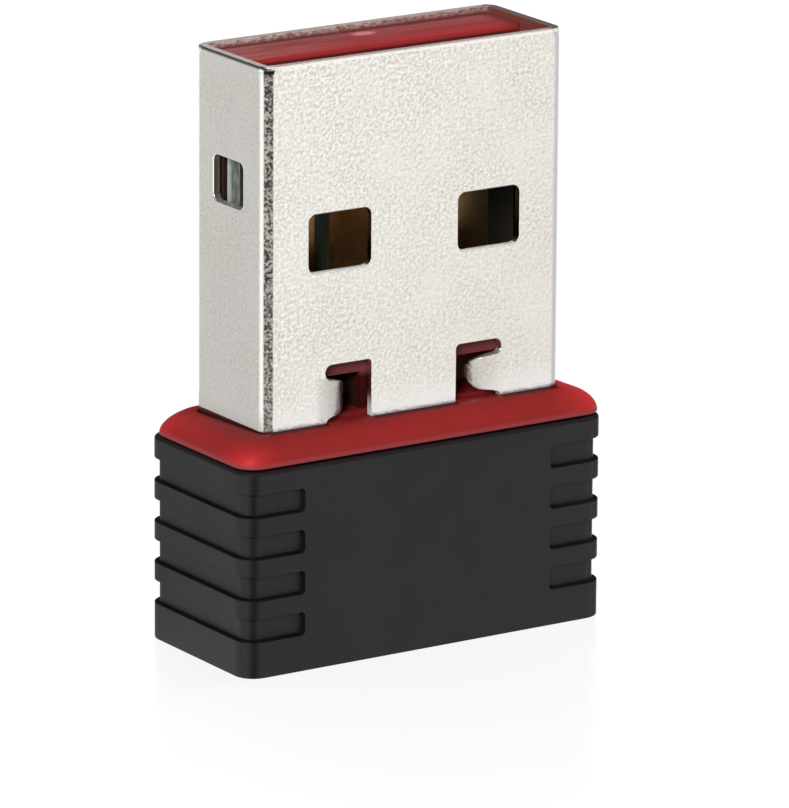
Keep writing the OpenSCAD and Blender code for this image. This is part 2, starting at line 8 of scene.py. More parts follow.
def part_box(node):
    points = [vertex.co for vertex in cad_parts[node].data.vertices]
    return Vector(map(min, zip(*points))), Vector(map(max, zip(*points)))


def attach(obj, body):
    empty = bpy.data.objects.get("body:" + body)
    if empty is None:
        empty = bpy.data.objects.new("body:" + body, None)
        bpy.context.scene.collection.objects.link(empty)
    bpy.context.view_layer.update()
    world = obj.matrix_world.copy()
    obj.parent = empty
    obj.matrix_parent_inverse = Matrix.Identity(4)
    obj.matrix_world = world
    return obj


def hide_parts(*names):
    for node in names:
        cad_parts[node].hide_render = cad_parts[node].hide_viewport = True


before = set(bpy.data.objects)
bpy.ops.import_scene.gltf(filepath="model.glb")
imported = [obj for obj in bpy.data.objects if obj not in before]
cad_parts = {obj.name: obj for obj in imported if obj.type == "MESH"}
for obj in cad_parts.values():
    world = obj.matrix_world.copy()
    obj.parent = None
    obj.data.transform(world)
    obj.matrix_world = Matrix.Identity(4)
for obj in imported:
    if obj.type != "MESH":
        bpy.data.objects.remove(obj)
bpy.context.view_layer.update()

# Lengths below are in millimetres; meshes are written in metres
MM = 0.001


def box_mm(node):
    """Lowest and highest corner of a CAD node, in millimetres."""
    low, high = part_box(node)
    return np.array(low) / MM, np.array(high) / MM


# Housing cap
HOUSING_LOW, HOUSING_HIGH = box_mm("housing_cap")
HOUSING_W, HOUSING_T, HOUSING_H = HOUSING_HIGH - HOUSING_LOW
HOUSING_R = 0.75
HOUSING_END_R = 0.06
HOUSING_RIM_R = 0.12
WALL_T = 0.9
FLOOR_T = 0.9
CAVITY_R = 0.3
GROOVE_COUNT = 4
GROOVE_H = 0.78
GROOVE_D = 0.172
GROOVE_FACE_D = 0.2
GROOVE_BASE_H = 1.3
GROOVE_TOP_H = 0.78
GROOVE_END_R = 0.15
FIELD_W = 10.0
RIDGE_R = 0.035
GROOVE_ROOT_R = 0.035
GROOVE_DRAFT = 0.02

# Plug shell
SHELL_LOW, SHELL_HIGH = box_mm("plug_shell")
PLUG_W, PLUG_T = SHELL_HIGH[0] - SHELL_LOW[0], SHELL_HIGH[1] - SHELL_LOW[1]
SHELL_FOOT, MOUTH_Z = SHELL_LOW[2], SHELL_HIGH[2]
SHEET_T = 0.3
SHELL_R = 0.42
EDGE_R = 0.045
SEAM_GAP = 0.005
DOVETAIL_W = 0.9
DOVETAIL_H = 1.2
DOVETAIL_FLARE = 0.3
WINDOW_W = 2.5
WINDOW_H = 2.04
WINDOW_DROP = 5.26
WINDOW_SPAN = 6.0
WINDOW_R = 0.28
SIDE_WINDOW_W = 1.87
SIDE_WINDOW_H = 1.6
SIDE_WINDOW_DROP = 3.55
SIDE_WINDOW_R = 0.25
SIDE_WINDOW_SHIFT = 0.08
STRIP_W = 3.44
TAB_ROOT_X = 3.5
TAB_BEND_R = 1.16
TAB_BEND = math.radians(64)
TAB_LIFT = 0.19
TAB_H = 1.29
TAB_SLOPE = 0.38
TAB_CORNER_R = 0.72
TAB_ROOT_RUN = 0.55
SLOT_H = 0.52
SLOT_OVER = 0.06
SLOT_CORNER_R = 0.16

# Plug carrier
CARRIER_LOW, CARRIER_HIGH = box_mm("plug_carrier")
COLLAR_T = CARRIER_HIGH[1] - CARRIER_LOW[1]
COLLAR_INSET = 0.01
COLLAR_W = HOUSING_W - 2 * COLLAR_INSET
SKIRT_FOOT, TONGUE_TOP = CARRIER_LOW[2], CARRIER_HIGH[2]
COLLAR_H = 1.05
COLLAR_TOP = HOUSING_H + COLLAR_H
PARTING_H = 0.09
NECK_INSET = 0.35
COLLAR_R = 1.0
COLLAR_FRONT_R = 0.8
COLLAR_END_RATIO = 1.4
COLLAR_DOME_H = 0.9
COLLAR_DOME_POWER = 1.05
COLLAR_FOOT_R = 0.05
END_DROP = 0.06
END_DROP_X = 5.65
BACK_DROP = 0.15
SEAT_GAP = 0.05
SEAT_EDGE_R = 0.04
SKIRT_GAP = 0.05
CARRIER_GAP = 0.05
BLOCK_H = 2.45
BLOCK_EDGE_R = 0.08
POCKET_GAP = 0.05
POCKET_STEP = 0.25
POCKET_D = 1.6
FAR_POCKET_D = 0.6
LIP_H = 0.9
# Place and size of the pale painted highlight on the tongue's end
HIGHLIGHT_X = 0.27
HIGHLIGHT_Y = 1.45
HIGHLIGHT_W = 1.0
HIGHLIGHT_T = 0.6
TONGUE_EDGE_R = 0.05
TONGUE_GAP = 0.01
FULL_INSET = 0.999
JOIN_D = 0.2

# The circuit board's place, from the frame
BOARD_LOW, BOARD_HIGH = box_mm("circuit_board")
CONTACT_FACE = box_mm("power_contact")[0][1]
BOARD_CLEAR = 0.05
SLOT_FRONT = CONTACT_FACE - BOARD_CLEAR
SLOT_BACK = BOARD_HIGH[1] + BOARD_CLEAR

# Values that follow from those above
BORE_W, BORE_T, BORE_R = PLUG_W - 2 * SHEET_T, PLUG_T - 2 * SHEET_T, SHELL_R - SHEET_T
BLOCK_W, BLOCK_T = BORE_W - 2 * CARRIER_GAP, BORE_T - 2 * CARRIER_GAP
BLOCK_TOP = COLLAR_TOP + BLOCK_H
COLLAR_FOOT = HOUSING_H + PARTING_H
WINDOW_Z = MOUTH_Z - WINDOW_DROP - WINDOW_H / 2
SIDE_WINDOW_Z = MOUTH_Z - SIDE_WINDOW_DROP - SIDE_WINDOW_H / 2
TAB_FOOT = COLLAR_TOP + TAB_LIFT
TAB_TOP = TAB_FOOT + TAB_H
TAB_L = TAB_BEND_R * TAB_BEND
SLOT_END_X = TAB_ROOT_X + SLOT_OVER
SLOT_TOP = TAB_TOP + SLOT_H
QUARTER = math.pi / 2


def turns(steps, start=0.0, stop=QUARTER):
    """Evenly spaced angles, or shares, from start to stop, both included."""
    return [start + (stop - start) * i / steps for i in range(steps + 1)]


def rounding(radius, steps):
    """Points (drop, inset) round an edge, from the side to the top."""
    return [(radius * (1 - math.sin(a)), radius * (1 - math.cos(a))) for a in turns(steps)]


def shade_smooth(mesh, limit=math.radians(48)):
    """Smooth shading in which large faces count for more, and edges sharper than the limit stay sharp."""
    mesh.polygons.foreach_set("use_smooth", [True] * len(mesh.polygons))
    sizes = [face.loop_total for face in mesh.polygons]
    normals = np.repeat([tuple(face.normal) for face in mesh.polygons], sizes, axis=0)
    weights = np.repeat([face.area for face in mesh.polygons], sizes)
    vertices = np.array([corner.vertex_index for corner in mesh.loops])
    order = np.argsort(vertices, kind="stable")
    stops = np.flatnonzero(np.diff(vertices[order])) + 1
    shaded = np.zeros_like(normals)
    for group in np.split(order, stops):
        near = normals[group] @ normals[group].T > math.cos(limit)
        mean = near @ (normals[group] * weights[group][:, None])
        length = np.linalg.norm(mean, axis=1)[:, None]
        shaded[group] = np.where(length > 0, mean / np.maximum(length, 1e-30), normals[group])
    mesh.normals_split_custom_set([tuple(n) for n in shaded])


def new_object(name, points_mm, faces):
    """An object with a mesh of these points and faces."""
    mesh = bpy.data.meshes.new(name)
    mesh.from_pydata([tuple(p) for p in np.asarray(points_mm) * MM], [], faces)
    made = bpy.data.objects.new(name, mesh)
    bpy.context.scene.collection.objects.link(made)
    return made


def piece_from(name, points_mm, faces, material, slot, *nodes):
    """Makes a smooth-shaded piece on the root body that stands for the named CAD nodes."""
    piece = new_object(name, points_mm, faces)
    piece.data.validate()
    piece.data.materials.append(material)
    shade_smooth(piece.data)
    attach(piece, "root")
    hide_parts(*nodes)
    return piece


# Lofted skins

def outline(width, depth, radius, end_ratio=1.0, columns=(0.0,), arc_steps=10, front_radius=None):
    """Points and outward normals round a rectangle with round corners.

    They run anticlockwise from the front's middle. The corners are end_ratio times as long in X as in Y,
    but round at the front where a front_radius is given. columns are places along half a long side, from 0.
    """
    right = [(x, -depth / 2, 0, -1) for x in columns]
    for sy, start in ((-1, -QUARTER), (1, 0.0)):
        rx, ry = (front_radius, front_radius) if front_radius and sy < 0 else (radius * end_ratio, radius)
        cx, cy = width / 2 - rx, sy * (depth / 2 - ry)
        for a in turns(arc_steps, start, start + QUARTER):
            c, s = math.cos(a), math.sin(a)
            length = math.hypot(c / rx, s / ry)
            right.append((cx + rx * c, cy + ry * s, c / rx / length, s / ry / length))
    right += [(x, depth / 2, 0, 1) for x in reversed(columns)]
    left = [(-x, y, -nx, ny) for x, y, nx, ny in reversed(right[1:-1])]
    every = np.array(right + left)
    return every[:, :2], every[:, 2:]


def at_height(points, z):
    """A plan outline as points in space at height z."""
    return np.column_stack([points, np.full(len(points), z)])


def loft(rings):
    """Points and faces of a closed skin through rings of equally many points."""
    count = len(rings[0])
    last = (len(rings) - 1) * count
    faces = [tuple(reversed(range(count)))]
    for foot in range(0, last, count):
        for i in range(count):
            j = (i + 1) % count
            faces.append((foot + i, foot + j, foot + count + j, foot + count + i))
    faces.append(tuple(range(last, last + count)))
    return np.concatenate(rings), faces


def groove_profile(steps=4):
    """Points (run, drop) from the plain face over a groove's rounded edge, down its wall, to its floor."""
    edge = [(-drop, inset) for drop, inset in rounding(RIDGE_R, steps)]
    root = [(GROOVE_DRAFT + inset, GROOVE_D - drop) for drop, inset in rounding(GROOVE_ROOT_R, steps)]
    return edge + root


def groove_feet():
    """Heights of the grooves' lower edges."""
    pitch = (HOUSING_H - GROOVE_BASE_H - GROOVE_TOP_H - GROOVE_H) / (GROOVE_COUNT - 1)
    return [GROOVE_BASE_H + i * pitch for i in range(GROOVE_COUNT)]


def groove_depth(run, z):
    """Depth of the grooves at a distance run beyond the plain field, and at height z."""
    depth = np.zeros_like(run)
    steps = np.array(groove_profile())
    for foot in groove_feet():
        across = GROOVE_END_R - run
        along = abs(z - foot - GROOVE_H / 2) - (GROOVE_H / 2 - GROOVE_END_R)
        outside = np.hypot(np.maximum(across, 0), max(along, 0))
        within = np.minimum(np.maximum(across, along), 0)
        depth = np.maximum(depth, np.interp(GROOVE_END_R - outside - within, steps[:, 0], steps[:, 1]))
    return depth


def groove_stops():
    """Distances across a groove's edge at which the housing's skin has a line of points."""
    runs = [run for run, _ in groove_profile()]
    return [-3 * RIDGE_R] + runs + [0.5 * GROOVE_END_R, 0.75 * GROOVE_END_R, GROOVE_END_R]


def housing_rows():
    """Rows (z, inset) up the outside of the housing."""
    rows = rounding(HOUSING_END_R, 4)[::-1]
    for foot in groove_feet():
        rows += [(foot + run, 0.0) for run in groove_stops()]
        rows += [(foot + GROOVE_H - run, 0.0) for run in reversed(groove_stops())]
    rows += [(HOUSING_H - drop, inset) for drop, inset in rounding(HOUSING_RIM_R, 4)]
    return rows


def build_housing(material):
    """The black cap: ridged ends, a plain field between them, and a hollow open at the collar."""
    columns = [0.0] + [FIELD_W / 2 + run for run in groove_stops()]
    points, normals = outline(HOUSING_W, HOUSING_T, HOUSING_R, columns=columns)
    cavity, _ = outline(HOUSING_W - 2 * WALL_T, HOUSING_T - 2 * WALL_T, CAVITY_R, columns=columns)
    run = np.abs(points[:, 0]) - FIELD_W / 2
    rings = []
    for z, inset in housing_rows():
        relief = groove_depth(run, z)[:, None] * (1.0, GROOVE_FACE_D / GROOVE_D)
        rings.append(at_height(points - normals * (inset + relief), z))
    rings += [at_height(cavity, HOUSING_H), at_height(cavity, FLOOR_T)]
    skin, faces = loft(rings)
    return piece_from("housing", skin, faces, material, "black_plastic", "housing_cap")


def carrier_rings():
    """Rings from the foot of the skirt, round the collar and its seat for the shell, to the block's top."""
    skirt_inset = WALL_T + SKIRT_GAP
    skirt = outline(HOUSING_W - 2 * skirt_inset, HOUSING_T - 2 * skirt_inset, CAVITY_R)[0]
    neck = outline(COLLAR_W - 2 * NECK_INSET, COLLAR_T - 2 * NECK_INSET, COLLAR_R)[0]
    collar, outward = outline(COLLAR_W, COLLAR_T, COLLAR_R, COLLAR_END_RATIO, front_radius=COLLAR_FRONT_R)
    seat, seat_out = outline(PLUG_W + 2 * SEAT_GAP, PLUG_T + 2 * SEAT_GAP, SHELL_R + SEAT_GAP)
    block, block_out = outline(BLOCK_W, BLOCK_T, BORE_R)
    lip = seat + seat_out * SEAT_EDGE_R
    dome_foot = COLLAR_TOP - COLLAR_DOME_H
    endward = np.clip((np.abs(lip[:, 0]) - END_DROP_X) / (PLUG_W / 2 - END_DROP_X), 0, 1)
    backward = np.clip(lip[:, 1] / (PLUG_T / 2), 0, 1)
    sag = END_DROP * endward + BACK_DROP * backward ** 2 * (3 - 2 * backward)
    rings = [at_height(skirt, SKIRT_FOOT), at_height(skirt, HOUSING_H),
             at_height(neck, HOUSING_H), at_height(neck, COLLAR_FOOT)]
    for drop, inset in reversed(rounding(COLLAR_FOOT_R, 4)):
        rings.append(at_height(collar - outward * inset, COLLAR_FOOT + drop))
    for a in turns(16):
        plan = lip + (collar - lip) * max(math.cos(a), 0.0) ** COLLAR_DOME_POWER
        rings.append(at_height(plan, dome_foot + (COLLAR_DOME_H - sag) * math.sin(a) ** COLLAR_DOME_POWER))
    for drop, inset in rounding(SEAT_EDGE_R, 3)[-2::-1]:
        rings.append(at_height(seat + seat_out * inset, COLLAR_TOP - sag - drop))
    rings += [at_height(seat, SHELL_FOOT), at_height(block, SHELL_FOOT)]
    for drop, inset in rounding(BLOCK_EDGE_R, 4):
        rings.append(at_height(block - block_out * inset, BLOCK_TOP - drop))
    return rings


def soft_box(first, second, radius, steps=3):
    """Points and faces of a box between two opposite corners, with rounded upper and upright edges.

    The rounding stops a little short of its full inset, so that the top's corner points stay apart.
    """
    low, high = np.minimum(first, second), np.maximum(first, second)
    width, depth, _ = high - low
    middle = (low + high)[:2] / 2
    plan, out = outline(width, depth, radius, arc_steps=steps)
    rings = [at_height(plan + middle, low[2])]
    for drop, inset in rounding(radius, steps):
        rings.append(at_height(plan + middle - out * inset * FULL_INSET, high[2] - drop))
    return loft(rings)


def combine(piece, operation, solids):
    """Adds solids to a piece's mesh, or cuts them from it, for good."""
    for k, (points, faces) in enumerate(solids):
        cutter = new_object(f"cutter_{k}", points, faces)
        change = piece.modifiers.new("change", "BOOLEAN")
        change.operation = operation
        change.solver = "EXACT"
        change.object = cutter
        bpy.context.view_layer.update()
        shaped = bpy.data.meshes.new_from_object(piece.evaluated_get(bpy.context.evaluated_depsgraph_get()))
        piece.modifiers.remove(change)
        piece.data = shaped
        bpy.data.objects.remove(cutter)


def build_carrier(material):
    """The red carrier: skirt, domed collar, block with the tabs' pockets, tongue and lip.

    Solids that are added or cut run on by JOIN_D where they meet the block.
    """
    skin, faces = loft(carrier_rings())
    piece = piece_from("carrier", skin, faces, material, "red_plastic", "plug_carrier")
    half_t = BLOCK_T / 2
    tongue_x, tongue_y = BORE_W / 2 - TONGUE_GAP, BORE_T / 2 - TONGUE_GAP
    tongue_end = (tongue_x, tongue_y, TONGUE_TOP)
    added = [
        soft_box((-tongue_x, SLOT_BACK, BLOCK_TOP - JOIN_D), tongue_end, TONGUE_EDGE_R),
        soft_box((-tongue_x, CONTACT_FACE, TONGUE_TOP - LIP_H), tongue_end, TONGUE_EDGE_R),
    ]
    cuts = [soft_box((-BORE_W / 2, SLOT_FRONT, SKIRT_FOOT - JOIN_D),
                     (BORE_W / 2, SLOT_BACK, BLOCK_TOP + JOIN_D), TONGUE_EDGE_R)]
    pocket_foot, pocket_top = TAB_FOOT - POCKET_GAP, TAB_TOP + POCKET_GAP
    inner_x, outer_x = STRIP_W / 2 + POCKET_STEP, TAB_ROOT_X + POCKET_GAP
    fill_low, fill_high = STRIP_W / 2 + CARRIER_GAP, TAB_ROOT_X - CARRIER_GAP
    fill_y = PLUG_T / 2 + SEAT_GAP + SEAT_EDGE_R
    for side in (-1, 1):
        for face, depth, fill_top in ((-1, POCKET_D, COLLAR_TOP), (1, FAR_POCKET_D, COLLAR_TOP - BACK_DROP)):
            cuts.append(soft_box((side * inner_x, face * PLUG_T, pocket_foot),
                                 (side * outer_x, face * (half_t - depth), pocket_top), BLOCK_EDGE_R))
            added.append(soft_box((side * fill_low, face * (half_t - JOIN_D), SHELL_FOOT - JOIN_D),
                                  (side * fill_high, face * fill_y, fill_top), SEAT_EDGE_R))
    combine(piece, "DIFFERENCE", cuts)
    combine(piece, "UNION", added)
    shade_smooth(piece.data)
    return piece


# Folded sheet metal

FRONT_RUN = PLUG_W / 2 - SHELL_R
FOLD_RUN = SHELL_R * QUARTER
SIDE_RUN = PLUG_T - 2 * SHELL_R
HALF_GIRTH = 2 * FRONT_RUN + 2 * FOLD_RUN + SIDE_RUN

# Points that carry the sheet between its edges: their spacing in the middle of a face, how far they keep
# from an edge, and how many there are from one mark to the next along the girth and up
GRID_STEP = 0.4
GRID_CLEAR = 0.1
GRID_COLUMNS = (9, 6, 9, 10, 9)
GRID_ROWS = (3, 9, 30)


def fold(s, z, t):
    """Folds a point of the flat sheet.

    s runs along the girth from the front's middle, z up, and t inwards from the outer face.
    """
    side, a = math.copysign(1.0, s), abs(s)
    facing, a = (-1, a) if a < HALF_GIRTH / 2 else (1, HALF_GIRTH - a)
    if STRIP_W / 2 + EDGE_R < a < TAB_ROOT_X and z < TAB_TOP + EDGE_R:
        turn, r = (TAB_ROOT_X - a) / TAB_BEND_R, TAB_BEND_R - t
        x, y = TAB_ROOT_X - r * math.sin(turn), PLUG_T / 2 - TAB_BEND_R + r * math.cos(turn)
    elif a <= FRONT_RUN:
        x, y = a, PLUG_T / 2 - t
    elif a <= FRONT_RUN + FOLD_RUN:
        turn, r = (a - FRONT_RUN) / SHELL_R, SHELL_R - t
        x, y = FRONT_RUN + r * math.sin(turn), PLUG_T / 2 - SHELL_R + r * math.cos(turn)
    else:
        x, y = PLUG_W / 2 - t, HALF_GIRTH / 2 - a
    return side * x, facing * y, z


def arc_points(cx, cz, r, start, stop, steps=8):
    """Points of an arc in the flat sheet."""
    return [(cx + r * math.cos(a), cz + r * math.sin(a)) for a in turns(steps, start, stop)]


def slot_edge():
    """Edge of the sheet round one tab, from the plain strip to the flank, as (distance from middle, z)."""
    slot_r = SLOT_H / 2
    strip_x, free_x = STRIP_W / 2, TAB_ROOT_X - TAB_L
    half_turn = 2 * QUARTER
    edge = [(strip_x, SHELL_FOOT)]
    edge += arc_points(strip_x + SLOT_CORNER_R, SLOT_TOP - SLOT_CORNER_R, SLOT_CORNER_R, half_turn, QUARTER)
    edge += arc_points(SLOT_END_X - slot_r, TAB_TOP + slot_r, slot_r, QUARTER, -QUARTER, 12)
    edge += [(TAB_ROOT_X - TAB_L * share, TAB_TOP - TAB_SLOPE * share ** 2)
             for share in turns(8, 0.0, 1.0)[1:-1]]
    edge += arc_points(free_x + SLOT_CORNER_R, TAB_TOP - TAB_SLOPE - SLOT_CORNER_R, SLOT_CORNER_R,
                       QUARTER, half_turn)
    edge += arc_points(free_x + TAB_CORNER_R, TAB_FOOT + TAB_CORNER_R, TAB_CORNER_R, half_turn, 3 * QUARTER)
    edge += [(TAB_ROOT_X - TAB_ROOT_RUN * (1 - math.cos(a)), COLLAR_TOP + TAB_LIFT * math.sin(a))
             for a in turns(8, QUARTER, 0.0)]
    edge += [(TAB_ROOT_X, SHELL_FOOT)]
    return edge


def window_edge(s, z, width, height, radius):
    """Closed edge of a window in the flat sheet, clockwise, so that the metal lies on its left."""
    cx, cz = width / 2 - radius, height / 2 - radius
    edge = []
    for k, (a, b) in enumerate(((1, 1), (1, -1), (-1, -1), (-1, 1))):
        start = QUARTER - k * QUARTER
        edge += arc_points(s + a * cx, z + b * cz, radius, start, start - QUARTER, 6)
    return edge


def sheet_edge():
    """Outer edge of the flat sheet, anticlockwise: foot with its four tabs, seam, mouth and seam again."""
    edge = slot_edge()
    back_edge = DOVETAIL_W / 2
    left_end, right_end = -(HALF_GIRTH - back_edge), HALF_GIRTH + back_edge - SEAM_GAP
    socket_end = HALF_GIRTH - back_edge - SEAM_GAP
    root, end = DOVETAIL_H / 2, DOVETAIL_H / 2 + DOVETAIL_FLARE
    loop = [(left_end, SHELL_FOOT)]
    loop += [(-(HALF_GIRTH - a), z) for a, z in edge]
    loop += [(-a, z) for a, z in reversed(edge)]
    loop += edge
    loop += [(HALF_GIRTH - a, z) for a, z in reversed(edge)]
    loop += [(right_end, SHELL_FOOT), (right_end, WINDOW_Z - root - SEAM_GAP),
             (socket_end, WINDOW_Z - end - SEAM_GAP), (socket_end, WINDOW_Z + end + SEAM_GAP),
             (right_end, WINDOW_Z + root + SEAM_GAP), (right_end, MOUTH_Z), (left_end, MOUTH_Z),
             (left_end, WINDOW_Z + root), (left_end - DOVETAIL_W, WINDOW_Z + end),
             (left_end - DOVETAIL_W, WINDOW_Z - end), (left_end, WINDOW_Z - root)]
    return loop


def spread(loop, longest=0.35):
    """The loop with extra points, so that no stretch is longer than the given length and none is empty."""
    out = []
    for k, p in enumerate(loop):
        q = loop[(k + 1) % len(loop)]
        length = math.dist(p, q)
        if length < 1e-6:
            continue
        cuts = max(1, math.ceil(length / longest))
        out += [(p[0] + (q[0] - p[0]) * i / cuts, p[1] + (q[1] - p[1]) * i / cuts) for i in range(cuts)]
    return np.array(out)


def grown(loop, distance):
    """The loop moved to its left, into the metal, by a distance."""
    way = loop - np.roll(loop, 1, 0)
    way /= np.linalg.norm(way, axis=1)[:, None]
    left_before = np.column_stack([-way[:, 1], way[:, 0]])
    left_after = np.roll(left_before, -1, 0)
    mitre = left_before + left_after
    mitre /= (1 + (left_before * left_after).sum(1))[:, None]
    return loop + mitre * distance


def inside(points, loop):
    """True for each point that lies inside the closed loop."""
    x, y = points.T[:, :, None]
    ax, ay = loop.T
    bx, by = np.roll(loop, -1, 0).T
    crosses = (ay > y) != (by > y)
    rise = np.where(by == ay, 1.0, by - ay)
    return (crosses & (x < ax + (bx - ax) * (y - ay) / rise)).sum(1) % 2 == 1


def on_metal(points, loops):
    """True for each point inside the first loop, the sheet's edge, and outside the others, its windows."""
    return np.logical_xor.reduce([inside(points, loop) for loop in loops])


def clear_of(points, loops, margin):
    """True for each point that is at least margin away from every point of the loops."""
    every = np.concatenate(loops)
    gap = np.linalg.norm(points[:, None] - every[None], axis=2)
    return gap.min(1) > margin


def stepped(marks, counts):
    """Evenly spaced places from each mark to the next, without the first mark."""
    return [place for start, stop, count in zip(marks, marks[1:], counts)
            for place in np.linspace(start, stop, count)[1:]]


def sheet_grid():
    """Points that carry the flat sheet between its edges, closer together where it is folded."""
    marks = [TAB_ROOT_X - TAB_L, TAB_ROOT_X, FRONT_RUN, FRONT_RUN + FOLD_RUN,
             FRONT_RUN + FOLD_RUN + SIDE_RUN, FRONT_RUN + 2 * FOLD_RUN + SIDE_RUN]
    stops = list(np.arange(0, marks[0], GRID_STEP)) + marks[:1] + stepped(marks, GRID_COLUMNS)
    stops += list(HALF_GIRTH - np.array(stops[:stops.index(FRONT_RUN)])[::-1])
    columns = np.array([-s for s in reversed(stops)] + stops[1:] + [HALF_GIRTH + DOVETAIL_W / 4])
    rows = stepped([SHELL_FOOT, TAB_FOOT, SLOT_TOP, MOUTH_Z], GRID_ROWS)[:-1]
    s, z = np.meshgrid(columns, rows)
    return np.column_stack([s.ravel(), z.ravel()])


def build_shell(material):
    """The plug's shell: one sheet with windows, four clinched tabs and a dovetailed seam, folded round."""
    side_s = FRONT_RUN + FOLD_RUN + SIDE_RUN / 2 + SIDE_WINDOW_SHIFT
    face_s = WINDOW_SPAN / 2
    loops = [sheet_edge()]
    for s in (-face_s, face_s, face_s - HALF_GIRTH, HALF_GIRTH - face_s):
        loops.append(window_edge(s, WINDOW_Z, WINDOW_W, WINDOW_H, WINDOW_R))
    for s in (-side_s, side_s):
        loops.append(window_edge(s, SIDE_WINDOW_Z, SIDE_WINDOW_W, SIDE_WINDOW_H, SIDE_WINDOW_R))
    loops = [spread(loop) for loop in loops]
    flat = [grown(loop, EDGE_R) for loop in loops]
    grid = sheet_grid()
    grid = grid[on_metal(grid, flat) & clear_of(grid, flat, GRID_CLEAR)]
    flat_points = np.concatenate(flat + [grid])
    edges, ties, first = [], [], 0
    for loop in flat:
        edges.append(list(range(first, first + len(loop))))
        ties += list(zip(edges[-1], edges[-1][1:] + edges[-1][:1]))
        first += len(loop)
    found = geometry.delaunay_2d_cdt([Vector(p) for p in flat_points], ties, [], 0, 1e-7)
    corners, triangles = np.array([tuple(v) for v in found[0]]), [tuple(f) for f in found[2]]
    if len(corners) != len(flat_points):
        raise ValueError("the flat sheet's edges cross")
    middles = np.array([corners[list(f)].mean(0) for f in triangles])
    triangles = [f for f, kept in zip(triangles, on_metal(middles, flat)) if kept]
    count = len(corners)
    points = [fold(s, z, 0.0) for s, z in corners] + [fold(s, z, SHEET_T) for s, z in corners]
    faces = triangles + [tuple(count + i for i in reversed(f)) for f in triangles]
    rim = rounding(EDGE_R, 3)[1:]
    rim += [(inset, SHEET_T - t) for inset, t in reversed(rim)]
    for loop, edge in zip(loops, edges):
        size = len(loop)
        rows = [edge]
        for inset, t in rim:
            rows.append(list(range(len(points), len(points) + size)))
            points += [fold(s, z, t) for s, z in grown(loop, inset)]
        rows.append([count + i for i in edge])
        for upper, lower in zip(rows, rows[1:]):
            for i in range(size):
                j = (i + 1) % size
                faces.append((upper[j], upper[i], lower[i], lower[j]))
    return piece_from("shell", points, faces, material, "nickel_steel", "plug_shell")


# Materials

# Parts of a noise's range, as start and stop: its middle, and nearly all of it
MIDDLE = (0.35, 0.65)
WHOLE = (0.3, 0.7)

# Shares of a surface's direction along an axis, as start and stop: turned that way, and squarely so
FACING = (0.4, 0.8)
SQUARE = (0.8, 0.95)

# Share, along the sheet's outer normal, of a rounded edge's direction: low, high and softness
ROUNDED = (0.35, 0.95, 0.1)

# Places where masks start and stop: the halves' border, the windows' outer edges, the folds, the outer faces
HALVES = (-1.0, 1.0)
WINDOW_EDGE_X = (WINDOW_SPAN + WINDOW_W) / 2
SIDE_WINDOW_EDGE_Y = SIDE_WINDOW_W / 2 + SIDE_WINDOW_SHIFT
FOLD_START = (FRONT_RUN - 0.1, FRONT_RUN)
OUTER_FACE = (PLUG_T / 2 - 0.16, PLUG_T / 2 - 0.12)
OUTER_SIDE = (PLUG_W / 2 - 0.16, PLUG_W / 2 - 0.12)

# Feature sizes of the noises in the materials, and the shift of the pebbles' shadows
PEBBLE = 0.125
PEBBLE_SHADE = (0.022, 0.0, -0.03)
PLATE_CLOUD = 2.5
PLATE_STREAK = 0.12
PLATE_GRAIN = 0.11
BORE_MOTTLE = 0.08
FLOW_MARK = 1.6
DRAG_MARK = 0.28
RED_GRAIN = 0.07
BLACK_GRAIN = 0.06
BLACK_PATCH = 1.8
GOLD_MOTTLE = 0.2
BOARD_MOTTLE = 0.3
BOARD_WEAVE = 0.16


class Field:
    """A value that varies over a surface: a shader node's output, with arithmetic on it."""

    def __init__(self, tree, socket):
        self.tree = tree
        self.socket = socket

    def math(self, operation, *others):
        """Arithmetic with other fields or numbers."""
        return make(self.tree, "ShaderNodeMath", dict(enumerate((self, *others))), operation=operation)

    def __abs__(self):
        return self.math("ABSOLUTE")

    def __add__(self, other):
        return self.math("ADD", other)

    def __sub__(self, other):
        return self.math("SUBTRACT", other)

    def __mul__(self, other):
        return self.math("MULTIPLY", other)

    def ramp(self, low, high, start, stop):
        """Low up to the start, high from the stop, and even between them."""
        inputs = {"Value": self, "From Min": start, "From Max": stop, "To Min": low, "To Max": high}
        return make(self.tree, "ShaderNodeMapRange", inputs, "Result")

    def rise(self, start, stop):
        """Zero up to the start, and one from the stop."""
        return self.ramp(0.0, 1.0, start, stop)

    def fall(self, start, stop):
        """One up to the start, and zero from the stop."""
        return self.ramp(1.0, 0.0, start, stop)

    def band(self, low, high, soft):
        """One between low and high, falling to zero over a soft width."""
        return self.rise(low - soft / 2, low + soft / 2) * self.fall(high - soft / 2, high + soft / 2)

    def mix(self, first, second, kind="RGBA"):
        """The first colour where the field is 0, and the second where it is 1; numbers with kind FLOAT."""
        inputs = {"Factor": self, "A": first, "B": second}
        return make(self.tree, "ShaderNodeMix", inputs, "Result", data_type=kind)


def plug(tree, value, socket):
    """Links a field to a node's socket, or sets the socket to a number, vector or colour."""
    if isinstance(value, Field):
        tree.links.new(value.socket, socket)
    else:
        socket.default_value = (*value, 1.0) if socket.type == "RGBA" else value


def make(tree, kind, inputs, output=0, **settings):
    """An output of a new node with these settings, and with inputs by name or number."""
    node = tree.nodes.new(kind)
    for name, value in settings.items():
        setattr(node, name, value)
    for name, value in inputs.items():
        plug(tree, value, node.inputs[name])
    return Field(tree, node.outputs[output])


def parts_of(tree, source):
    """The parts along X, Y and Z of a surface's place or direction."""
    whole = {"Vector": make(tree, "ShaderNodeTexCoord", {}, source)}
    return [make(tree, "ShaderNodeSeparateXYZ", whole, axis) for axis in "XYZ"]


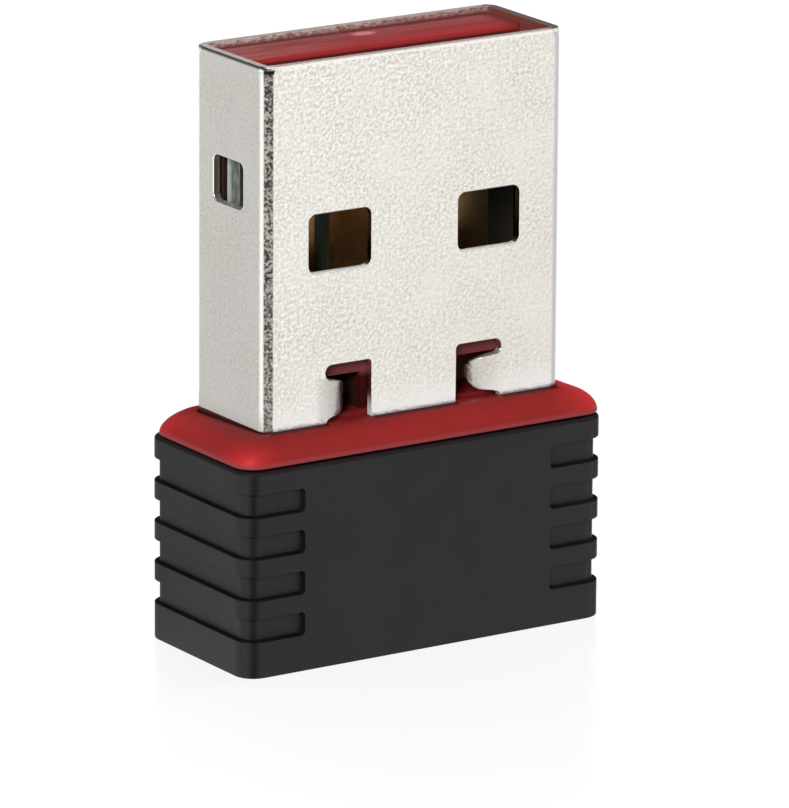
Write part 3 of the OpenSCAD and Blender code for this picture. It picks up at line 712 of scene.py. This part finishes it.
class Look:
    """A principled material, and the fields that its inputs are made from."""

    def __init__(self, name, metallic=0.0):
        self.material = bpy.data.materials.new(name)
        self.material.use_nodes = True
        self.tree = self.material.node_tree
        self.set("Metallic", metallic)

    def set(self, name, value):
        """Sets one of the shader's inputs, or links a field to it."""
        plug(self.tree, value, self.tree.nodes["Principled BSDF"].inputs[name])

    def finish(self, tint, rough, relief, height):
        """Sets the colour, the roughness and a relief of a height in millimetres, and gives the material."""
        bump = {"Strength": 1.0, "Distance": height * MM, "Height": relief}
        self.set("Base Color", tint)
        self.set("Roughness", rough)
        self.set("Normal", make(self.tree, "ShaderNodeBump", bump))
        return self.material

    def place(self):
        """The surface's place along X, Y and Z, in millimetres."""
        return [part * (1 / MM) for part in parts_of(self.tree, "Object")]

    def facing(self):
        """The surface's direction along X, Y and Z."""
        return parts_of(self.tree, "Normal")

    def noise(self, size, detail=2.0, roughness=0.5, shift=(0.0, 0.0, 0.0), stretch=(1.0, 1.0, 1.0)):
        """Noise with features of a size in millimetres, fixed to the object, shifted and stretched."""
        place = make(self.tree, "ShaderNodeTexCoord", {}, "Object")
        fit = {"Vector": place, "Location": Vector(shift) * MM, "Scale": [1 / factor for factor in stretch]}
        fitted = make(self.tree, "ShaderNodeMapping", fit)
        inputs = {"Vector": fitted, "Scale": 1 / (size * MM), "Detail": detail, "Roughness": roughness}
        return make(self.tree, "ShaderNodeTexNoise", inputs, "Fac")


def plate_tint(look):
    """Colour of the plated faces: fine pebbles in painted light and shadow, calmer on the narrow sides and
    to the lower right.
    """
    x, _, z = look.place()
    on_side = abs(look.facing()[0]).rise(0.9, 1.0)
    # Share of painted shade: none at the faces' upper left, most at their lower right, and half on the
    # narrow sides
    shade_share = x.ramp(0.0, 0.65, -PLUG_W / 2, PLUG_W / 2) + z.ramp(0.35, 0.0, COLLAR_TOP, MOUTH_Z)
    shade_share = on_side.mix(shade_share, 0.5, "FLOAT")
    pebbles = look.noise(PEBBLE, detail=1.5)
    shadows = look.noise(PEBBLE, detail=1.5, shift=PEBBLE_SHADE)
    clouds = look.noise(PLATE_CLOUD)
    streaks = look.noise(PLATE_STREAK, stretch=(1.0, 1.0, 14.0))
    # Painted light and shadow on each pebble, from the pebbles less a shifted copy of them
    speckle = (pebbles - shadows).ramp(-0.32, 0.32, -0.3, 0.3) + pebbles.ramp(-0.75, 0.75, 0.1, 0.9)
    calm = on_side.ramp(1.0, 0.55, 0.0, 1.0) * clouds.ramp(1.1, 0.75, *MIDDLE)
    speckle = speckle * (calm * shade_share.ramp(1.5, 0.5, 0.1, 0.9)) + 0.5
    # The plate painted lighter at the faces' upper left, and in painted shade towards their lower right
    painted_light = speckle.mix((0.66, 0.635, 0.585), (1.0, 0.98, 0.925))
    painted_shade = speckle.mix((0.52, 0.49, 0.435), (0.97, 0.935, 0.86))
    plate = streaks.ramp(0.0, 0.15, *MIDDLE).mix(shade_share.mix(painted_light, painted_shade), (0.6, 0.58, 0.54))
    return clouds.ramp(0.0, 0.2, *MIDDLE).mix(plate, (0.95, 0.93, 0.89))


def bore_reflection_tint(look):
    """Colour inside the mouth, a painted reflection of the red plastic: grey at the sheet's edge, dark red
    below and on the right wall.
    """
    x, _, z = look.place()
    edgeward = z.rise(TONGUE_TOP + 0.03, MOUTH_Z - 0.07)
    mottle = look.noise(BORE_MOTTLE, stretch=(2.2, 1.0, 1.0)).ramp(-0.9, 0.3, 0.3, 0.66)
    edge_reflection = x.rise(-2.0, 3.0).mix((0.62, 0.49, 0.46), (0.54, 0.36, 0.33))
    # Painted reflection and shade: dark red deep in the mouth, pink-grey towards the sheet's edge
    tint = (edgeward + mottle * edgeward).mix((0.2, 0.064, 0.054), edge_reflection)
    # A darker painted reflection of the red plastic on the right inner wall
    right_wall_reflection = x.rise(0.0, 1.0) * abs(look.facing()[0]).rise(*FACING)
    return right_wall_reflection.mix(tint, (0.23, 0.06, 0.053))


def fold_layers(look, grain):
    """The shell's upright folds: a painted highlight and then a painted dark reflection with grain on the
    left, a painted grey reflection on the right.
    """
    x, _, z = look.place()
    turned = abs(look.facing()[0])
    at_fold = abs(x).rise(*FOLD_START)
    left_fold, right_fold = at_fold * x.fall(*HALVES), at_fold * x.rise(*HALVES)
    grainy_dark_reflection = left_fold * turned.band(0.21, 0.84, 0.1)
    dark_reflection_tint = z.fall(COLLAR_TOP + 0.75, COLLAR_TOP + 4.25).mix((0.055, 0.047, 0.038), (0.13, 0.12, 0.105))
    # Layers: the painted highlight, the painted dark reflection, painted shade at its top by the mouth, and
    # the painted grey reflection
    return [
        (left_fold * turned.band(0.83, 0.985, 0.04), (1.0, 0.985, 0.95), 1.0),
        (grainy_dark_reflection, grain.rise(0.42, 0.6).mix(dark_reflection_tint, (0.47, 0.44, 0.395)), 1.0),
        (grainy_dark_reflection * z.rise(MOUTH_Z - 0.34, MOUTH_Z - 0.22), (0.02, 0.017, 0.014), 1.0),
        (right_fold * turned.band(0.15, 0.95, 0.25), (0.52, 0.52, 0.52), 1.0),
    ]


def tab_layers(look):
    """The bent tabs, in painted shade towards their free ends, and their cut edges."""
    x, _, z = look.place()
    wide = abs(x)
    on_tab = (z.band(TAB_FOOT - 0.1, TAB_TOP + 0.1, 0.1)
              * wide.band(STRIP_W / 2 + 0.1, TAB_ROOT_X + 0.4, 0.2))
    # Painted shade, deepening towards each tab's free end
    right_tab_shade = x.rise(*HALVES) * wide.ramp(0.6, 0.0, TAB_ROOT_X - 1.2, TAB_ROOT_X + 0.2)
    left_tab_shade = x.fall(*HALVES) * wide.fall(TAB_ROOT_X - 0.9, TAB_ROOT_X + 0.7)
    cut_edge = abs(look.facing()[2]).rise(0.2, 0.5)
    return [
        (on_tab * (right_tab_shade + left_tab_shade), (0.33, 0.31, 0.29), 0.8),
        (on_tab * cut_edge, (0.3, 0.25, 0.23), 0.2),
    ]


def window_layers(look):
    """The windows' edges: jambs in painted shade, and rounded edges and sills with painted highlights."""
    x, y, z = look.place()
    sideways, rearward, upward = look.facing()
    wide, deep, turned, fronted = (abs(field) for field in (x, y, sideways, rearward))
    on_face = wide.fall(WINDOW_EDGE_X + 0.35, WINDOW_EDGE_X + 0.55)
    on_side = deep.fall(SIDE_WINDOW_EDGE_Y + 0.085, SIDE_WINDOW_EDGE_Y + 0.185)
    foot, top = WINDOW_Z - WINDOW_H / 2, WINDOW_Z + WINDOW_H / 2
    face_jamb_shade = turned.rise(*FACING) * on_face * z.band(foot, top, 0.1)
    side_jamb_shade = fronted.rise(*FACING) * on_side * wide.rise(BORE_W / 2 - 0.03, BORE_W / 2 - 0.01)
    face_edge_highlight = (deep.rise(*OUTER_FACE) * fronted.band(*ROUNDED) * on_face
                 * z.rise(SLOT_TOP, SLOT_TOP + 0.2))
    side_edge_highlight = turned.band(*ROUNDED) * on_side * wide.rise(*OUTER_SIDE)
    sill_highlight = upward.rise(0.3, 0.6) * on_face * z.band(foot - 0.1, foot + 0.03, 0.03)
    # Layers: painted shade on the jambs, and painted highlights on the rounded edges and the sills
    return [
        (face_jamb_shade, (0.16, 0.13, 0.09), 1.0),
        (side_jamb_shade, (0.3, 0.22, 0.18), 1.0),
        (face_edge_highlight, (0.9, 0.87, 0.82), 0.0),
        (sill_highlight, (0.95, 0.93, 0.89), 0.0),
        (side_edge_highlight, (1.0, 0.985, 0.95), 1.0),
    ]


def mouth_layers(look):
    """The mouth: painted highlight on the outer edges, painted shade at the ends' top, a matt cut rim and
    the inner face's painted reflection.
    """
    x, y, z = look.place()
    wide, deep = abs(x), abs(y)
    turned, fronted, level = (abs(part) for part in look.facing())
    at_mouth = z.rise(MOUTH_Z - 0.14, MOUTH_Z - 0.08)
    in_bore = (z.rise(TONGUE_TOP - 1.0, TONGUE_TOP - 0.9)
               * wide.fall(BORE_W / 2 + 0.01, BORE_W / 2 + 0.03)
               * deep.fall(BORE_T / 2 + 0.01, BORE_T / 2 + 0.03))
    # Painted highlight along the top of the front and back faces
    outer_edge_highlight = at_mouth * deep.rise(*OUTER_FACE) * fronted.rise(0.3, 0.6)
    # The cut rim is painted lighter at the left end and darker at the right end
    end_rim_light_and_shade = x.rise(*HALVES).mix((0.62, 0.54, 0.505), (0.15, 0.13, 0.125))
    rim_tint = wide.rise(*FOLD_START).mix((0.5, 0.42, 0.395), end_rim_light_and_shade)
    # Layers: the painted highlight, painted shade at the top of the ends, the rim, and the inner face's
    # painted reflection
    return [
        (outer_edge_highlight, (0.97, 0.945, 0.88), level.fall(0.1, 0.3)),
        (at_mouth * turned.rise(0.4, 0.7), (0.13, 0.125, 0.115), 1.0),
        (at_mouth * level.rise(0.7, 0.9), rim_tint, 0.25),
        (in_bore, bore_reflection_tint(look), 0.0),
    ]


def nickel_material():
    """Nickel plate over rolled steel: warm and finely pebbled, with matt cut edges, grain on the folds, and
    painted light, shade and reflections on folds, tabs, windows, mouth and foot.

    Each layer over the plain plate is a mask, a colour and a share of metal.
    """
    look = Look("nickel_plate")
    z = look.place()[2]
    turned, fronted, level = (abs(part) for part in look.facing())
    grain = look.noise(PLATE_GRAIN, roughness=0.6)
    # Painted light at the foot of the front and back faces, painted shade at the foot of the sides, and
    # painted shadow where the shell enters its seat
    face_foot_light = fronted.rise(*SQUARE) * z.ramp(0.7, 0.0, COLLAR_TOP + 0.2, COLLAR_TOP + 1.0)
    side_foot_shade = turned.rise(*SQUARE) * z.fall(COLLAR_TOP + 0.15, COLLAR_TOP + 0.7)
    seat_shadow = z.fall(COLLAR_TOP - 0.015, COLLAR_TOP + 0.015)
    layers = [(face_foot_light, (1.0, 0.99, 0.965), 0.6)]
    layers += fold_layers(look, grain)
    layers += tab_layers(look)
    layers += window_layers(look)
    layers += mouth_layers(look)
    layers += [(side_foot_shade, (0.69, 0.7, 0.655), 0.0), (seat_shadow, (0.05, 0.011, 0.01), 0.0)]
    tint, metal = plate_tint(look), z.ramp(0.6, 1.0, COLLAR_TOP, COLLAR_TOP + 0.9)
    for mask, colour, share in layers:
        tint = mask.mix(tint, colour)
        metal = mask.mix(metal, share, "FLOAT")
    look.set("Metallic", metal)
    rough = grain.ramp(0.17, 0.24, *WHOLE) + level.ramp(0.0, 0.3, 0.2, 0.7)
    return look.finish(tint, rough, grain, 0.012)


def collar_tint(look):
    """Colour of the collar: painted shade by the shell, painted light at its corners and right end, a pale
    painted highlight at its foot.
    """
    x, y, z = look.place()
    wide, deep = abs(x), abs(y)
    off_face = deep.rise(PLUG_T / 2 + 0.05, COLLAR_T / 2)
    off_side = wide.ramp(0.35, 0.9, PLUG_W / 2 + 0.05, COLLAR_W / 2 - 0.4)
    off_shell = off_face.math("MAXIMUM", off_side)
    flow = look.noise(FLOW_MARK, detail=3.0)
    # Painted light on the collar's corners
    corner = (wide.rise(PLUG_W / 2 - 0.1, COLLAR_W / 2 - 0.215)
              * z.ramp(1.0, 0.3, COLLAR_FOOT + 0.2, COLLAR_TOP - 0.2)
              * deep.rise(PLUG_T / 2 - 0.95, COLLAR_T / 2 - 0.275))
    # Painted light on the right end
    right_end = x.ramp(0.0, 0.7, PLUG_W / 2 - 0.8, COLLAR_W / 2 - 0.115)
    # A pale painted highlight along the foot
    foot_highlight = z.band(HOUSING_H, COLLAR_FOOT + 0.16, 0.12)
    off_tabs = wide.band(STRIP_W / 2, TAB_ROOT_X, 0.02).fall(0.0, 1.0)
    # Painted shadow along the shell, but at the tabs
    shell_contact_shade = (z.rise(COLLAR_TOP - 0.045, COLLAR_TOP - 0.01) * off_tabs
                * z.fall(COLLAR_TOP + 0.05, COLLAR_TOP + 0.1))
    # Painted shade near the shell, lighter away from it
    tint = off_shell.mix((0.155, 0.0105, 0.0095), (0.35, 0.0245, 0.0245))
    tint = flow.ramp(0.0, 0.12, *MIDDLE).mix(tint, (0.42, 0.04, 0.036))
    tint = corner.mix(tint, (0.66, 0.029, 0.031))
    tint = right_end.mix(tint, (0.6, 0.034, 0.036))
    tint = foot_highlight.mix(tint, (0.36, 0.055, 0.06))
    return shell_contact_shade.mix(tint, (0.06, 0.006, 0.006))


def block_shade_tint(look):
    """Colour of the block in the plug's foot, all painted shade: darker below the tabs' tops, pockets near
    black on the left and paler to the right.
    """
    x, y, z = look.place()
    in_pocket = abs(y).fall(BLOCK_T / 2 - 0.4, BLOCK_T / 2 - 0.05)
    # Painted shade on the block's face, deeper below the tabs' tops
    face = z.rise(TAB_TOP - 0.15, TAB_TOP + 0.1).mix((0.045, 0.005, 0.005), (0.205, 0.052, 0.056))
    pocket_shade = x.rise(*HALVES).mix((0.027, 0.012, 0.008), (0.4, 0.2, 0.17))
    return in_pocket.mix(face, pocket_shade)


def tongue_end_tint(look):
    """Colour of the tongue's end: redder at the front, a painted sheen to the back, pale to the left, drag
    marks and a pale painted highlight.
    """
    x, y, _ = look.place()
    drag = look.noise(DRAG_MARK, detail=3.0, roughness=0.65, stretch=(14.0, 1.0, 1.0))
    highlight_x, highlight_y = (x - HIGHLIGHT_X) * (2 / HIGHLIGHT_W), (y - HIGHLIGHT_Y) * (2 / HIGHLIGHT_T)
    off_highlight = highlight_x * highlight_x + highlight_y * highlight_y
    # Painted sheen, paler towards the back
    tint = y.rise(0.2, 1.5).mix((0.35, 0.036, 0.041), (0.29, 0.066, 0.07))
    tint = x.ramp(0.8, 0.0, -5.5, -0.5).mix(tint, (0.36, 0.125, 0.118))
    tint = drag.ramp(0.0, 0.85, 0.45, 0.72).mix(tint, (0.16, 0.025, 0.025))
    # The pale pink painted highlight
    return off_highlight.ramp(0.8, 0.0, 0.3, 1.2).mix(tint, (0.62, 0.22, 0.23))


def red_material():
    """Satin red plastic with faint flow marks, in painted shade in the block, at the sides and right end of
    the tongue and at the lip's foot, with painted light on the lip.
    """
    look = Look("red_plastic")
    x, y, z = look.place()
    _, rearward, upward = look.facing()
    grain = look.noise(RED_GRAIN)
    in_block = abs(y).fall(BLOCK_T / 2 + 0.01, BLOCK_T / 2 + 0.1) * z.band(TAB_FOOT, BLOCK_TOP, 0.1)
    # Painted shade on the sides of the tongue
    tongue_side_shade = (z.rise(BLOCK_TOP, BLOCK_TOP + 0.1)
                   * abs(x).rise(BLOCK_W / 2 - 0.2, BLOCK_W / 2 - 0.1))
    at_end = z.rise(TONGUE_TOP - 0.4, TONGUE_TOP - 0.3)
    # The lip's front: painted light above, painted shadow at its foot
    lip_painted_light = z.rise(TONGUE_TOP - 0.21, TONGUE_TOP - 0.14)
    lip_light_and_shade = lip_painted_light.mix((0.15, 0.02, 0.018), (0.52, 0.045, 0.048))
    # Painted shade on the right end of the tongue's end
    right_end = at_end * x.ramp(0.0, 0.6, BLOCK_W / 2 - 0.55, BLOCK_W / 2 + 0.05)
    tint = in_block.mix(collar_tint(look), block_shade_tint(look))
    tint = tongue_side_shade.mix(tint, (0.02, 0.012, 0.01))
    tint = (at_end * rearward.fall(-0.8, -0.4)).mix(tint, lip_light_and_shade)
    tint = (at_end * upward.rise(0.6, 0.9)).mix(tint, tongue_end_tint(look))
    tint = right_end.mix(tint, (0.19, 0.033, 0.03))
    look.set("Specular IOR Level", in_block.ramp(0.16, 0.03, 0.0, 1.0))
    return look.finish(tint, grain.ramp(0.44, 0.56, *WHOLE), grain, 0.004)


def black_material():
    """Matte black plastic with the fine grain of an etched mould, and a painted sheen: little but on its
    flat sides.
    """
    look = Look("black_plastic")
    x, _, z = look.place()
    sideways, _, upward = look.facing()
    turned = abs(sideways)
    grain = look.noise(BLACK_GRAIN, detail=3.0)
    patches = look.noise(BLACK_PATCH, detail=3.0)
    at_rim = z.rise(HOUSING_H - 0.12, HOUSING_H - 0.07)
    tint = patches.rise(*WHOLE).mix((0.008, 0.008, 0.009), (0.012, 0.012, 0.013))
    # Painted sheen: the specular level is cut on surfaces facing up, lowered on those facing down, at the
    # corners and on the grooves' ends, which paints them dark
    upright = upward.fall(0.12, 0.5) * upward.ramp(0.6, 1.0, -0.4, -0.05)
    corner = turned.band(0.34, 0.66, 0.26)
    groove_end = turned.rise(0.2, 0.6) * x.band(-(FIELD_W / 2 + 0.12), 0.0, 0.04)
    sheen = at_rim.mix(upright, 0.2, "FLOAT") * corner.ramp(0.36, 0.08, 0.0, 1.0)
    look.set("Specular IOR Level", sheen * groove_end.fall(0.0, 1.0))
    tint = at_rim.mix(tint, (0.024, 0.018, 0.018))
    return look.finish(tint, grain.ramp(0.45, 0.55, *WHOLE), grain, 0.005)


def plain_material(name, dark, light, rough, size, height, metallic):
    """A finish with mottled colour and a fine grain, for the pieces inside."""
    look = Look(name, metallic)
    mottle = look.noise(size, detail=3.0)
    tint = mottle.rise(*MIDDLE).mix(dark, light)
    return look.finish(tint, mottle.ramp(rough * 0.85, rough * 1.15, *WHOLE), mottle, height)


# CAD nodes that stay, by finish, with dark and light tint, roughness, grain size and height, and metal share
INNER_FINISHES = {
    "copper": (["aerial_trace"], (0.6, 0.25, 0.12), (0.72, 0.34, 0.18), 0.35, 0.2, 0.003, 1.0),
    "chip_epoxy": (["radio_chip", "voltage_regulator", "resistors"],
                   (0.01, 0.01, 0.011), (0.022, 0.022, 0.024), 0.55, 0.12, 0.004, 0.0),
    "tin_plating": (["radio_chip_pads", "inductor_caps", "regulator_leads", "aerial_filter_caps",
                     "capacitor_caps", "resistor_caps"],
                    (0.55, 0.55, 0.56), (0.7, 0.7, 0.71), 0.35, 0.15, 0.004, 1.0),
    "tan_ceramic": (["crystal_base", "capacitors"],
                    (0.36, 0.24, 0.13), (0.46, 0.32, 0.18), 0.5, 0.15, 0.003, 0.0),
    "ferrite": (["power_inductor"], (0.035, 0.035, 0.04), (0.06, 0.06, 0.065), 0.6, 0.1, 0.005, 0.0),
    "white_ceramic": (["aerial_filter"], (0.6, 0.6, 0.57), (0.7, 0.7, 0.67), 0.45, 0.15, 0.003, 0.0),
}
CONTACTS = ["power_contact", "data_minus_contact", "data_plus_contact", "ground_contact"]
WELD_GAP = 0.002
EASED_R = 0.015


def gold_material():
    """Thin gold plate, in painted shade towards the last contact's outer edge."""
    look = Look("gold_plating", metallic=1.0)
    mottle = look.noise(GOLD_MOTTLE, detail=3.0)
    plate = mottle.rise(*MIDDLE).mix((0.66, 0.36, 0.14), (0.74, 0.43, 0.18))
    low, high = max((box_mm(node) for node in CONTACTS), key=lambda box: box[1][0])
    # Painted shade towards the last contact's outer edge
    painted_shade = look.place()[0].rise(low[0] + 0.1, high[0])
    tint = painted_shade.mix(plate, (0.36, 0.26, 0.14))
    return look.finish(tint, mottle.ramp(0.36, 0.48, *WHOLE), mottle, 0.004)


def board_material():
    """Green solder mask with painted shade to the right and at its left end, and pale cut sides."""
    look = Look("board_laminate")
    x, y, _ = look.place()
    mottle = look.noise(BOARD_MOTTLE, detail=3.0)
    weave = look.noise(BOARD_WEAVE, stretch=(1.0, 1.0, 3.0))
    thick = BOARD_HIGH[1] - BOARD_LOW[1]
    back_share = y.rise(BOARD_HIGH[1] - 0.42 * thick, BOARD_HIGH[1] - 0.2 * thick)
    left_end = x.fall(BOARD_LOW[0] + 0.1, BOARD_LOW[0] + 0.8)
    mask = mottle.rise(*MIDDLE).mix((0.055, 0.085, 0.055), (0.075, 0.11, 0.075))
    # Painted shade to the right and at the board's left end
    mask = x.rise(-2.5, 2.5).mix(mask, (0.016, 0.0135, 0.0085))
    mask = left_end.mix(mask, (0.02, 0.032, 0.022))
    side = weave.rise(*MIDDLE).mix((0.06, 0.085, 0.06), (0.23, 0.235, 0.21))
    side = back_share.mix(side, (0.5, 0.54, 0.58))
    tint = abs(look.facing()[0]).rise(*FACING).mix(mask, side)
    return look.finish(tint, mottle.ramp(0.35, 0.46, *WHOLE), mottle, 0.004)


def dress_inner_nodes(nickel):
    """Gives the CAD nodes that stay their finish, and eases their edges."""
    dressed = [(board_material(), "circuit_board"), (nickel, "crystal_lid")]
    gold = gold_material()
    dressed += [(gold, node) for node in CONTACTS]
    for finish, (nodes, *values) in INNER_FINISHES.items():
        material = plain_material(finish, *values)
        dressed += [(material, node) for node in nodes]
    for material, node in dressed:
        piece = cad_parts[node]
        piece.data.materials.clear()
        piece.data.materials.append(material)
        weld = piece.modifiers.new("weld", "WELD")
        weld.merge_threshold = WELD_GAP * MM
        ease = piece.modifiers.new("ease", "BEVEL")
        ease.width = EASED_R * MM
        ease.segments = 2
        ease.limit_method = "ANGLE"


# Studio

# Azimuths are in degrees from the front towards the left
VIEW_AZIMUTH = 33.197
VIEW_ELEVATION = 15.318
VIEW_ROLL = 0.365
VIEW_DISTANCE = 270.16
VIEW_TARGET = Vector((0.68, 0.0, 7.798))
VIEW_NEAREST = 10
VIEW_FARTHEST = 10000
FOCAL_PX = 7883.0
FRAME_H_PX = 808
SENSOR_MM = 36.0

# The table: how far it runs, its greys, and where its shine ends
FLOOR_REACH = 1500
FLOOR_WHITE = 0.3
FLOOR_SEEN = 0.945
FLOOR_SHADE = 0.085
FLOOR_SHINE = 0.085
FLOOR_GLOSS = 0.14
SHINE_NEAR = 4.0
SHINE_FAR = 26.0

# What the object mirrors: a dim stretch of the table in one direction, and a brighter far table
DIM_AZIMUTH = 147
DIM_EDGE = (0.8, 0.97)
DIM_LEVEL = 0.66
FAR_EDGE = (30, 75)
FAR_LEVEL = 1.07

# A ring round the table, and the sky's grey above the height where its white ends
HORIZON_STEPS = 48
HORIZON_R = 420
HORIZON_LOW = 20
HORIZON_HIGH = 220
SKY_EDGE = (0.045, 0.08)
SKY_LEVEL = 0.12

# The lamps' size and distance
LAMP_W = 130
LAMP_DISTANCE = 320


def way_to(azimuth, elevation=0.0):
    """The direction from the object to an azimuth and elevation, in degrees."""
    turn, rise = math.radians(azimuth), math.radians(elevation)
    return Vector((-math.sin(turn) * math.cos(rise), -math.cos(turn) * math.cos(rise), math.sin(rise)))


def aimed(name, data, way, distance, roll=0.0):
    """A lamp or camera that looks at the view's target from a direction and a distance."""
    place = Matrix.Translation((VIEW_TARGET + way * distance) * MM)
    aim = (-way).to_track_quat("-Z", "Y").to_matrix().to_4x4()
    made = bpy.data.objects.new(name, data)
    made.matrix_world = place @ aim @ Matrix.Rotation(math.radians(roll), 4, "Z")
    bpy.context.scene.collection.objects.link(made)
    return made


def build_camera():
    """A camera at the photograph's place, looking at the front from the left and a little above."""
    lens = bpy.data.cameras.new("camera")
    lens.sensor_width = SENSOR_MM
    lens.lens = FOCAL_PX * SENSOR_MM / FRAME_H_PX
    lens.clip_start = VIEW_NEAREST * MM
    lens.clip_end = VIEW_FARTHEST * MM
    way = way_to(VIEW_AZIMUTH, VIEW_ELEVATION)
    bpy.context.scene.camera = aimed("camera", lens, way, VIEW_DISTANCE, VIEW_ROLL)


def stage_piece(name, points_mm, faces, material_name):
    """A piece of the stage, with the node tree of its material, which has no shader yet."""
    piece = new_object(name, points_mm, faces)
    material = bpy.data.materials.new(material_name)
    material.use_nodes = True
    tree = material.node_tree
    tree.nodes.remove(tree.nodes["Principled BSDF"])
    piece.data.materials.append(material)
    return piece, tree


def glow(tree, strength):
    """White light of a fixed strength, or of one that follows a field."""
    return make(tree, "ShaderNodeEmission", {"Strength": strength})


def mixed(share, first, second):
    """The first shader where a share is 0, and the second where it is 1."""
    return make(share.tree, "ShaderNodeMixShader", {0: share, 1: first, 2: second})


def build_floor():
    """A white table, plain white to the camera, with a trace of shadow and of the object's reflection."""
    corners = [(x * FLOOR_REACH, y * FLOOR_REACH, 0) for x, y in ((-1, -1), (1, -1), (1, 1), (-1, 1))]
    floor, tree = stage_piece("floor", corners, [(0, 1, 2, 3)], "white_table")
    place = {0: make(tree, "ShaderNodeTexCoord", {}, "Object")}
    distance = make(tree, "ShaderNodeVectorMath", place, "Value", operation="LENGTH") * (1 / MM)
    way = make(tree, "ShaderNodeVectorMath", place, "Vector", operation="NORMALIZE")
    ways = {0: way, 1: way_to(DIM_AZIMUTH)}
    towards_dim = make(tree, "ShaderNodeVectorMath", ways, "Value", operation="DOT_PRODUCT")
    level = towards_dim.ramp(1.0, DIM_LEVEL, *DIM_EDGE) * distance.ramp(1.0, FAR_LEVEL, *FAR_EDGE)
    white = make(tree, "ShaderNodeBsdfDiffuse", {"Color": [FLOOR_WHITE] * 3})
    faint = make(tree, "ShaderNodeBsdfDiffuse", {"Color": [FLOOR_SHADE] * 3})
    shine = make(tree, "ShaderNodeBsdfGlossy", {"Color": [FLOOR_SHINE] * 3, "Roughness": FLOOR_GLOSS})
    polished = make(tree, "ShaderNodeAddShader", {0: glow(tree, FLOOR_SEEN - FLOOR_SHINE), 1: shine})
    table = mixed(distance.fall(SHINE_NEAR, SHINE_FAR), glow(tree, FLOOR_SEEN), polished)
    seen = make(tree, "ShaderNodeAddShader", {0: table, 1: faint})
    inner = mixed(make(tree, "ShaderNodeLightPath", {}, "Is Glossy Ray"), white, glow(tree, level))
    outer = mixed(make(tree, "ShaderNodeLightPath", {}, "Is Camera Ray"), inner, seen)
    plug(tree, outer, tree.nodes["Material Output"].inputs["Surface"])
    return floor


def build_horizon(floor):
    """A white ring round the table that only the table mirrors."""
    circle = [(HORIZON_R * math.cos(a), HORIZON_R * math.sin(a))
              for a in turns(HORIZON_STEPS, 0.0, 4 * QUARTER)[:-1]]
    points = [(x, y, z) for z in (HORIZON_LOW, HORIZON_HIGH) for x, y in circle]
    steps = [(i, (i + 1) % HORIZON_STEPS) for i in range(HORIZON_STEPS)]
    faces = [(i, j, HORIZON_STEPS + j, HORIZON_STEPS + i) for i, j in steps]
    ring, tree = stage_piece("horizon", points, faces, "horizon")
    plug(tree, glow(tree, 1.0), tree.nodes["Material Output"].inputs["Surface"])
    ring.visible_camera = False
    ring.visible_diffuse = False
    ring.visible_shadow = False
    table_only = bpy.data.collections.new("table_only")
    table_only.objects.link(floor)
    ring.light_linking.receiver_collection = table_only


def build_world():
    """A dim studio with a white horizon."""
    world = bpy.data.worlds.new("studio")
    bpy.context.scene.world = world
    world.use_nodes = True
    tree = world.node_tree
    height = parts_of(tree, "Generated")[2]
    sky = tree.nodes["Background"]
    sky.inputs["Color"].default_value = (1.0, 1.0, 1.0, 1.0)
    plug(tree, height.ramp(1.0, SKY_LEVEL, *SKY_EDGE), sky.inputs["Strength"])


def softbox(name, azimuth, elevation, level, mirrored=True):
    """A soft lamp aimed at the object, at a level where a white surface facing it shows that grey."""
    lamp = bpy.data.lights.new(name, "AREA")
    lamp.shape = "DISK"
    lamp.size = LAMP_W * MM
    lamp.energy = level * (math.pi * LAMP_DISTANCE * MM) ** 2
    box = aimed(name, lamp, way_to(azimuth, elevation), LAMP_DISTANCE)
    box.visible_glossy = mirrored


build_camera()
build_world()
build_horizon(build_floor())
softbox("key_lamp", azimuth=50, elevation=27, level=0.78)
softbox("right_lamp", azimuth=-85, elevation=30, level=0.6, mirrored=False)
softbox("back_lamp", azimuth=200, elevation=45, level=0.5, mirrored=False)

build_housing(black_material())
build_carrier(red_material())
nickel = nickel_material()
build_shell(nickel)
dress_inner_nodes(nickel)

bpy.context.scene.view_settings.view_transform = "Standard"
